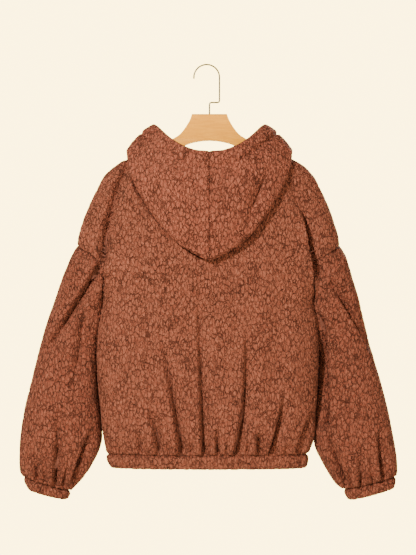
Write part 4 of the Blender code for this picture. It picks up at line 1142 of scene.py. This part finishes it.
def sleeve(levels, grids, side, cloths):
    """A balloon sleeve from the armhole's edge to the cuff."""
    outward = OUTWARD[side]
    count = spaces(SLEEVE_GIRTH)
    first, first_inner, into_hole = armhole_loop(levels, grids, side, count)
    places = np.linspace(0, len(SLEEVES[side]["depth"]) - 1, 60)
    sections = section_rings(read_between(SLEEVES[side], places), outward, count)
    tuck = TUCK_DEEP * np.exp(-((sections[..., 2] - TUCK_HEIGHT) / TUCK_SPREAD) ** 2)
    sections[..., 0] -= outward * tuck * ((sections[..., 0] - STEM_X) * outward < TUCK_WITHIN)
    sections = clear_of_torso(sections, side)
    # the cloth leaves the seam into the hole and onward, then turns down the arm
    turn = first + unit(unit(sections[0] - first) + into_hole) * 2 * MM
    neck = turn + (sections[0] - turn) * 0.4
    rings = respace(np.concatenate([[first, turn, neck], sections]), 0)
    normals = tube_normals(rings)
    sunk = np.zeros(rings.shape[:2])
    for face, folds in SLEEVE_FOLDS[side].items():
        deep = fold_depth(folds, np.abs(rings[..., 0] - STEM_X), rings[..., 2])
        sunk += deep * np.clip(normals[..., 1] * face * 3, 0, 1)
    away = distance_from(rings, "first_row")
    sunk *= np.clip(away / ARMHOLE_CALM, 0, 1)
    sunk *= np.clip(distance_from(rings, "last_row") / GATHER_END, SLEEVE_GATHERS_LEFT, 1)
    skin = rings - normals * sunk[..., None]
    lining = skin - normals * CLOTH
    share = np.clip(away / (8 * MM), 0, 1)[..., None]
    lining = lining * share + (first_inner + (lining - lining[:1])) * (1 - share)
    cloth("sleeve_" + side, "sleeve", cloths, skin, lining, ["back"], ("first_row", "last_row"),
          ring=True)


def cuff(side, cloths):
    """The sleeve's elasticated end, doubled and lightly gathered."""
    count = spaces(CUFF_GIRTH)
    rings = respace(section_rings(CUFFS[side], OUTWARD[side], count), 0)
    normals = tube_normals(rings)
    turn = np.linspace(0, 2 * math.pi, count, endpoint=False)
    gather = CUFF_GATHER * np.sin(9 * turn + 1.1 * np.sin(4 * turn)) ** 2
    skin = rings - normals * gather[None, :, None]
    cloth("cuff_" + side, "sleeve", cloths, skin, rings - normals * CLOTH,
          ["sherpa_sleeve_" + side], ("first_row",), ("last_row",), ring=True, step=FINE_STEP,
          turned_in=ALL_TURNED_IN)


def hood(body_skin, side, cloths):
    """One half of the hood, from the centre seam round to the zip."""
    middle = hood_middle(side, body_skin)
    normals = surface_normals(middle, False)
    normals[0, :, 0] = 0
    normals = unit(normals)
    normals *= -np.sign(normals[0, -5:, 1].sum())
    rim_away = distance_from(middle, "last_col")
    channel = np.exp(-((rim_away - CHANNEL_PLACE) / CHANNEL_SPREAD) ** 2) * CHANNEL_DEPTH[side]
    double = RIM_SWELL * (1 - np.clip((rim_away - RIM_DOUBLED) / RIM_FADE, 0, 1)) ** 2
    skin = middle + normals * (CLOTH / 2 + double - channel)[..., None]
    lining = middle - normals * (CLOTH / 2 + double)[..., None]
    inward = -unit((middle - (STEM_X, 0, 0)) * (1, 1, 0))
    drawn = NECK_DRAWN_IN * np.exp(-(distance_from(middle, "first_col") / NECK_SPREAD) ** 2)
    drawn = inward * (drawn * np.clip(middle[..., 1] / NECK_FRONT, 0, 1))[..., None]
    skin, lining = skin + drawn, lining + drawn
    deep = fold_depth(HOOD_FOLDS[side], skin[..., 0] - STEM_X, skin[..., 2])
    sunk = normals * (deep * np.clip(-3 * normals[..., 1], 0, 1))[..., None]
    cloth("hood_" + side, "hood", cloths, skin - sunk, lining - sunk, ["back"],
          ("first_row", "first_col"), ("last_col", "last_row"), step=FINE_STEP,
          turned_in=RIM_TURNED_IN, flat_seam=True)


# Hard pieces

def board(material):
    """The hanger: a flat board cut to the shoulders' line, all its edges rounded."""
    half = []
    for part, count in ((HANGER, 12), (HANGER_TIP, 16), (HANGER_ARCH, 12)):
        fine = read_between(part, np.linspace(0, len(part["x"]) - 1, count))
        half += zip(fine["x"], fine["z"])
    outline = [(STEM_X + x, z) for x, z in half] + [(STEM_X - x, z) for x, z in half[-2::-1]]
    body = bmesh.new()
    front, back = ([body.verts.new((x, y, z)) for x, z in outline]
                   for y in (-WOOD_THICK / 2, WOOD_THICK / 2))
    body.faces.new(front)
    body.faces.new(back[::-1])
    for k in range(len(outline)):
        n = (k + 1) % len(outline)
        body.faces.new((front[k], front[n], back[n], back[k]))
    rims = [edge for edge in body.edges if edge.verts[0].co.y == edge.verts[1].co.y]
    bmesh.ops.bevel(body, geom=rims, offset=WOOD_BEVEL, segments=5, profile=0.5, affect="EDGES")
    mesh = settled(body, bpy.data.meshes.new("beech_board"))
    mesh.shade_smooth()
    mesh.set_sharp_from_angle(angle=math.radians(40))
    placed("beech_board", mesh, [material], "hanger")


def rounded(corners, radius, steps):
    """A path through corners, each turned by a short curve."""
    path = [Vector(corners[0])]
    for before, corner, after in zip(corners, corners[1:], corners[2:]):
        before, corner, after = Vector(before), Vector(corner), Vector(after)
        start = corner + (before - corner).normalized() * radius
        end = corner + (after - corner).normalized() * radius
        for t in np.linspace(0, 1, steps).tolist():
            path.append((1 - t) ** 2 * start + 2 * t * (1 - t) * corner + t * t * end)
    path.append(Vector(corners[-1]))
    return path


def wire_hook(material):
    """Bent wire: a stem, a jog to one side, and a round hook with a domed end."""
    centre_z = WIRE_RADIUS - HOOK_RADIUS
    path = rounded([(STEM_X, 0, WOOD_TOP + SEAM), (STEM_X, 0, JOG_HEIGHT),
                    (HOOK_RADIUS, 0, JOG_HEIGHT), (HOOK_RADIUS, 0, centre_z)], WIRE_BEND, 10)
    for degrees in range(4, 186, 4):
        turn = math.radians(degrees)
        path.append(Vector((HOOK_RADIUS * math.cos(turn), 0,
                            centre_z + HOOK_RADIUS * math.sin(turn))))
    end = (path[-1] - path[-2]).normalized()
    radii = [WIRE_RADIUS] * len(path)
    for share in (0.35, 0.65, 0.85, 0.97):
        path.append(path[-1] + end * WIRE_RADIUS * 0.25)
        radii.append(WIRE_RADIUS * math.sqrt(1 - share ** 2))
    sideways = Vector((0, 1, 0))
    angles = np.linspace(0, 2 * math.pi, 20, endpoint=False)
    body = bmesh.new()
    rings = []
    for k, (place, radius) in enumerate(zip(path, radii)):
        along = (path[min(k + 1, len(path) - 1)] - path[max(k - 1, 0)]).normalized()
        across = along.cross(sideways).normalized()
        spokes = [across * math.cos(a) + sideways * math.sin(a) for a in angles]
        rings.append([body.verts.new(place + radius * spoke) for spoke in spokes])
    for ring, following in zip(rings, rings[1:]):
        for k in range(len(angles)):
            n = (k + 1) % len(angles)
            body.faces.new((ring[k], ring[n], following[n], following[k]))
    body.faces.new(rings[0])
    body.faces.new(rings[-1][::-1])
    mesh = settled(body, bpy.data.meshes.new("chrome_hook"))
    mesh.shade_smooth()
    mesh.set_sharp_from_angle(angle=math.radians(60))
    placed("chrome_hook", mesh, [material], "hook")


def tape_front(height):
    """How far forward the tapes' own front stands."""
    return front_middle(height) - CLOTH - TAPE_GAP


def zip_tape(side, material):
    """A woven strip behind one front's edge, its inner edge a thicker bead under the teeth."""
    heights = [middle_height(level, 1) for level in BAND_LEVELS[:0:-1] + LEVELS]
    heights[-1] -= 2 * MM
    reaches = (SEAM / 2, 1.2 * MM, 2.2 * MM, 3.0 * MM, 8 * MM, TAPE_WIDTH)
    swells = (0, TAPE_BEAD, TAPE_BEAD, 0, 0, 0)
    xs = [STEM_X + OUTWARD[side] * reach for reach in reaches]
    body = bmesh.new()
    front = [[body.verts.new((x, tape_front(height) + swell, height))
              for x, swell in zip(xs, swells)] for height in heights]
    behind = [[body.verts.new((x, tape_front(height) - TAPE_THICK, height)) for x in xs]
              for height in heights]
    rows, columns = range(len(heights) - 1), range(len(reaches) - 1)
    for r, c in itertools.product(rows, columns):
        for grid in (front, behind):
            body.faces.new((grid[r][c], grid[r][c + 1], grid[r + 1][c + 1], grid[r + 1][c]))
    for r, c in itertools.product(rows, (0, -1)):
        body.faces.new((front[r][c], front[r + 1][c], behind[r + 1][c], behind[r][c]))
    for r, c in itertools.product((0, -1), columns):
        body.faces.new((front[r][c], behind[r][c], behind[r][c + 1], front[r][c + 1]))
    mesh = settled(body, bpy.data.meshes.new("tape_" + side))
    item = placed("woven_tape_" + side, mesh, [material], "zip_tape_" + side)


def worn_edges(item, width, segments):
    """Round a metal piece's edges a little."""
    rounding = item.modifiers.new("worn edges", "BEVEL")
    rounding.width = width
    rounding.segments = segments


def zip_teeth(material):
    """Interlocked teeth, turn about from either tape, from the hem up to the slider."""
    wide, thick, tall = TOOTH_SIZE
    body = bmesh.new()
    low, high = HEM_END + 6 * MM, SLIDER_HEIGHT - 5 * MM
    for k in range(int((high - low) / (TOOTH_PITCH / 2))):
        height = low + k * TOOTH_PITCH / 2
        outward = 1 if k % 2 else -1
        face = tape_front(height)
        corners = []
        for reach, half in ((-TOOTH_OVERLAP, 0.42), (wide - TOOTH_OVERLAP, 0.30)):
            for y, share in ((face - TOOTH_FOOT, half * 1.1), (face + thick, half)):
                corners.append([body.verts.new((STEM_X + reach * outward, y,
                                                height + tall * share * up)) for up in (-1, 1)])
        a, b, c, d = corners
        for face_corners in ((a[0], a[1], b[1], b[0]), (c[0], d[0], d[1], c[1]),
                             (a[0], b[0], d[0], c[0]), (a[1], c[1], d[1], b[1]),
                             (b[0], b[1], d[1], d[0]), (a[0], c[0], c[1], a[1])):
            body.faces.new(face_corners)
    mesh = settled(body, bpy.data.meshes.new("zip_teeth"))
    worn_edges(placed("zip_teeth", mesh, [material], None), 0.2 * MM, 1)


def zip_metal(material):
    """The slider and its pull tab, which keep the solids' own shape."""
    for name in ("zip_slider", "pull_tab"):
        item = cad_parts[name]
        item.data.materials.clear()
        item.data.materials.append(material)
        worn_edges(item, 0.3 * MM, 2)


# Studio

def surround():
    """A pale surround: bright level with the eye and brighter behind the jacket, dim elsewhere."""
    world = bpy.data.worlds.new("studio")
    bpy.context.scene.world = world
    world.use_nodes = True
    tree = world.node_tree
    direction = node(tree, "TexCoord")
    height = node(tree, "SeparateXYZ", (direction,), "Z")
    facing = node(tree, "SeparateXYZ", (direction,), "Y")
    level = node(tree, "Math", (height,), operation="ABSOLUTE")
    away = node(tree, "MapRange", (level, 0.21, 0.34), interpolation_type="SMOOTHSTEP")
    behind = node(tree, "MapRange", (facing, 0.93, 0.977), interpolation_type="SMOOTHSTEP")
    wall_light = node(tree, "Mix", {
        0: behind, 6: (2.4, 1.96, 1.30, 1), 7: (9.7, 7.3, 2.6, 1)}, 2, data_type="RGBA")
    light = node(tree, "Mix", {
        0: away, 6: wall_light, 7: (0.10, 0.11, 0.13, 1)}, 2, data_type="RGBA")
    plug(tree, tree.nodes["Background"], {"Color": light})


def studio():
    """A pale floor below, a pale surround and soft lights."""
    bpy.ops.mesh.primitive_circle_add(vertices=96, radius=FLOOR_RADIUS, fill_type="NGON",
                                      location=(0, 0, FLOOR_HEIGHT))
    floor = bpy.context.object
    material, _, _ = finish("studio_floor", {"Roughness": 0.9, "Base Color": linear("#F3EADB")})
    floor.data.materials.append(material)
    surround()
    for name, (place, size, power) in LIGHTS.items():
        light = bpy.data.lights.new(name, "AREA")
        light.size = size
        light.energy = power
        light.color = linear("#FFF6EA")[:3]
        lamp = bpy.data.objects.new(name, light)
        lamp.location = place
        towards = Vector(LIT_PLACE) - Vector(place)
        lamp.rotation_euler = towards.to_track_quat("-Z", "Y").to_euler()
        bpy.context.scene.collection.objects.link(lamp)


def camera():
    """The photograph's view: level, square to the back, from 4 m."""
    data = bpy.data.cameras.new("camera")
    data.sensor_width = 36
    data.lens = CAMERA_LENS
    item = bpy.data.objects.new("camera", data)
    item.location = CAMERA_PLACE
    item.rotation_euler = (math.pi / 2, 0, 0)
    bpy.context.scene.collection.objects.link(item)
    bpy.context.scene.camera = item


def main():
    """Dress every node, and set the studio and the camera."""
    backing = knit_backing("sherpa_backing", "#7A4330", "#53291A")
    cloths = {part: [sherpa("sherpa_pile_" + part, *shades), backing]
              for part, shades in PILE_SHADES.items()}
    tape = woven_tape("woven_zip_tape")
    brass = aged_brass("aged_brass")
    levels, grids = body_panels(cloths)
    hem_band(cloths)
    body_skin = solid_skin()
    for side in ("left", "right"):
        sleeve(levels, grids, side, cloths)
        cuff(side, cloths)
        hood(body_skin, side, cloths)
    for side in ("left", "right"):
        zip_tape(side, tape)
    zip_teeth(brass)
    zip_metal(brass)
    board(beech("varnished_beech"))
    wire_hook(chrome_wire("chrome_wire"))
    studio()
    camera()


main()
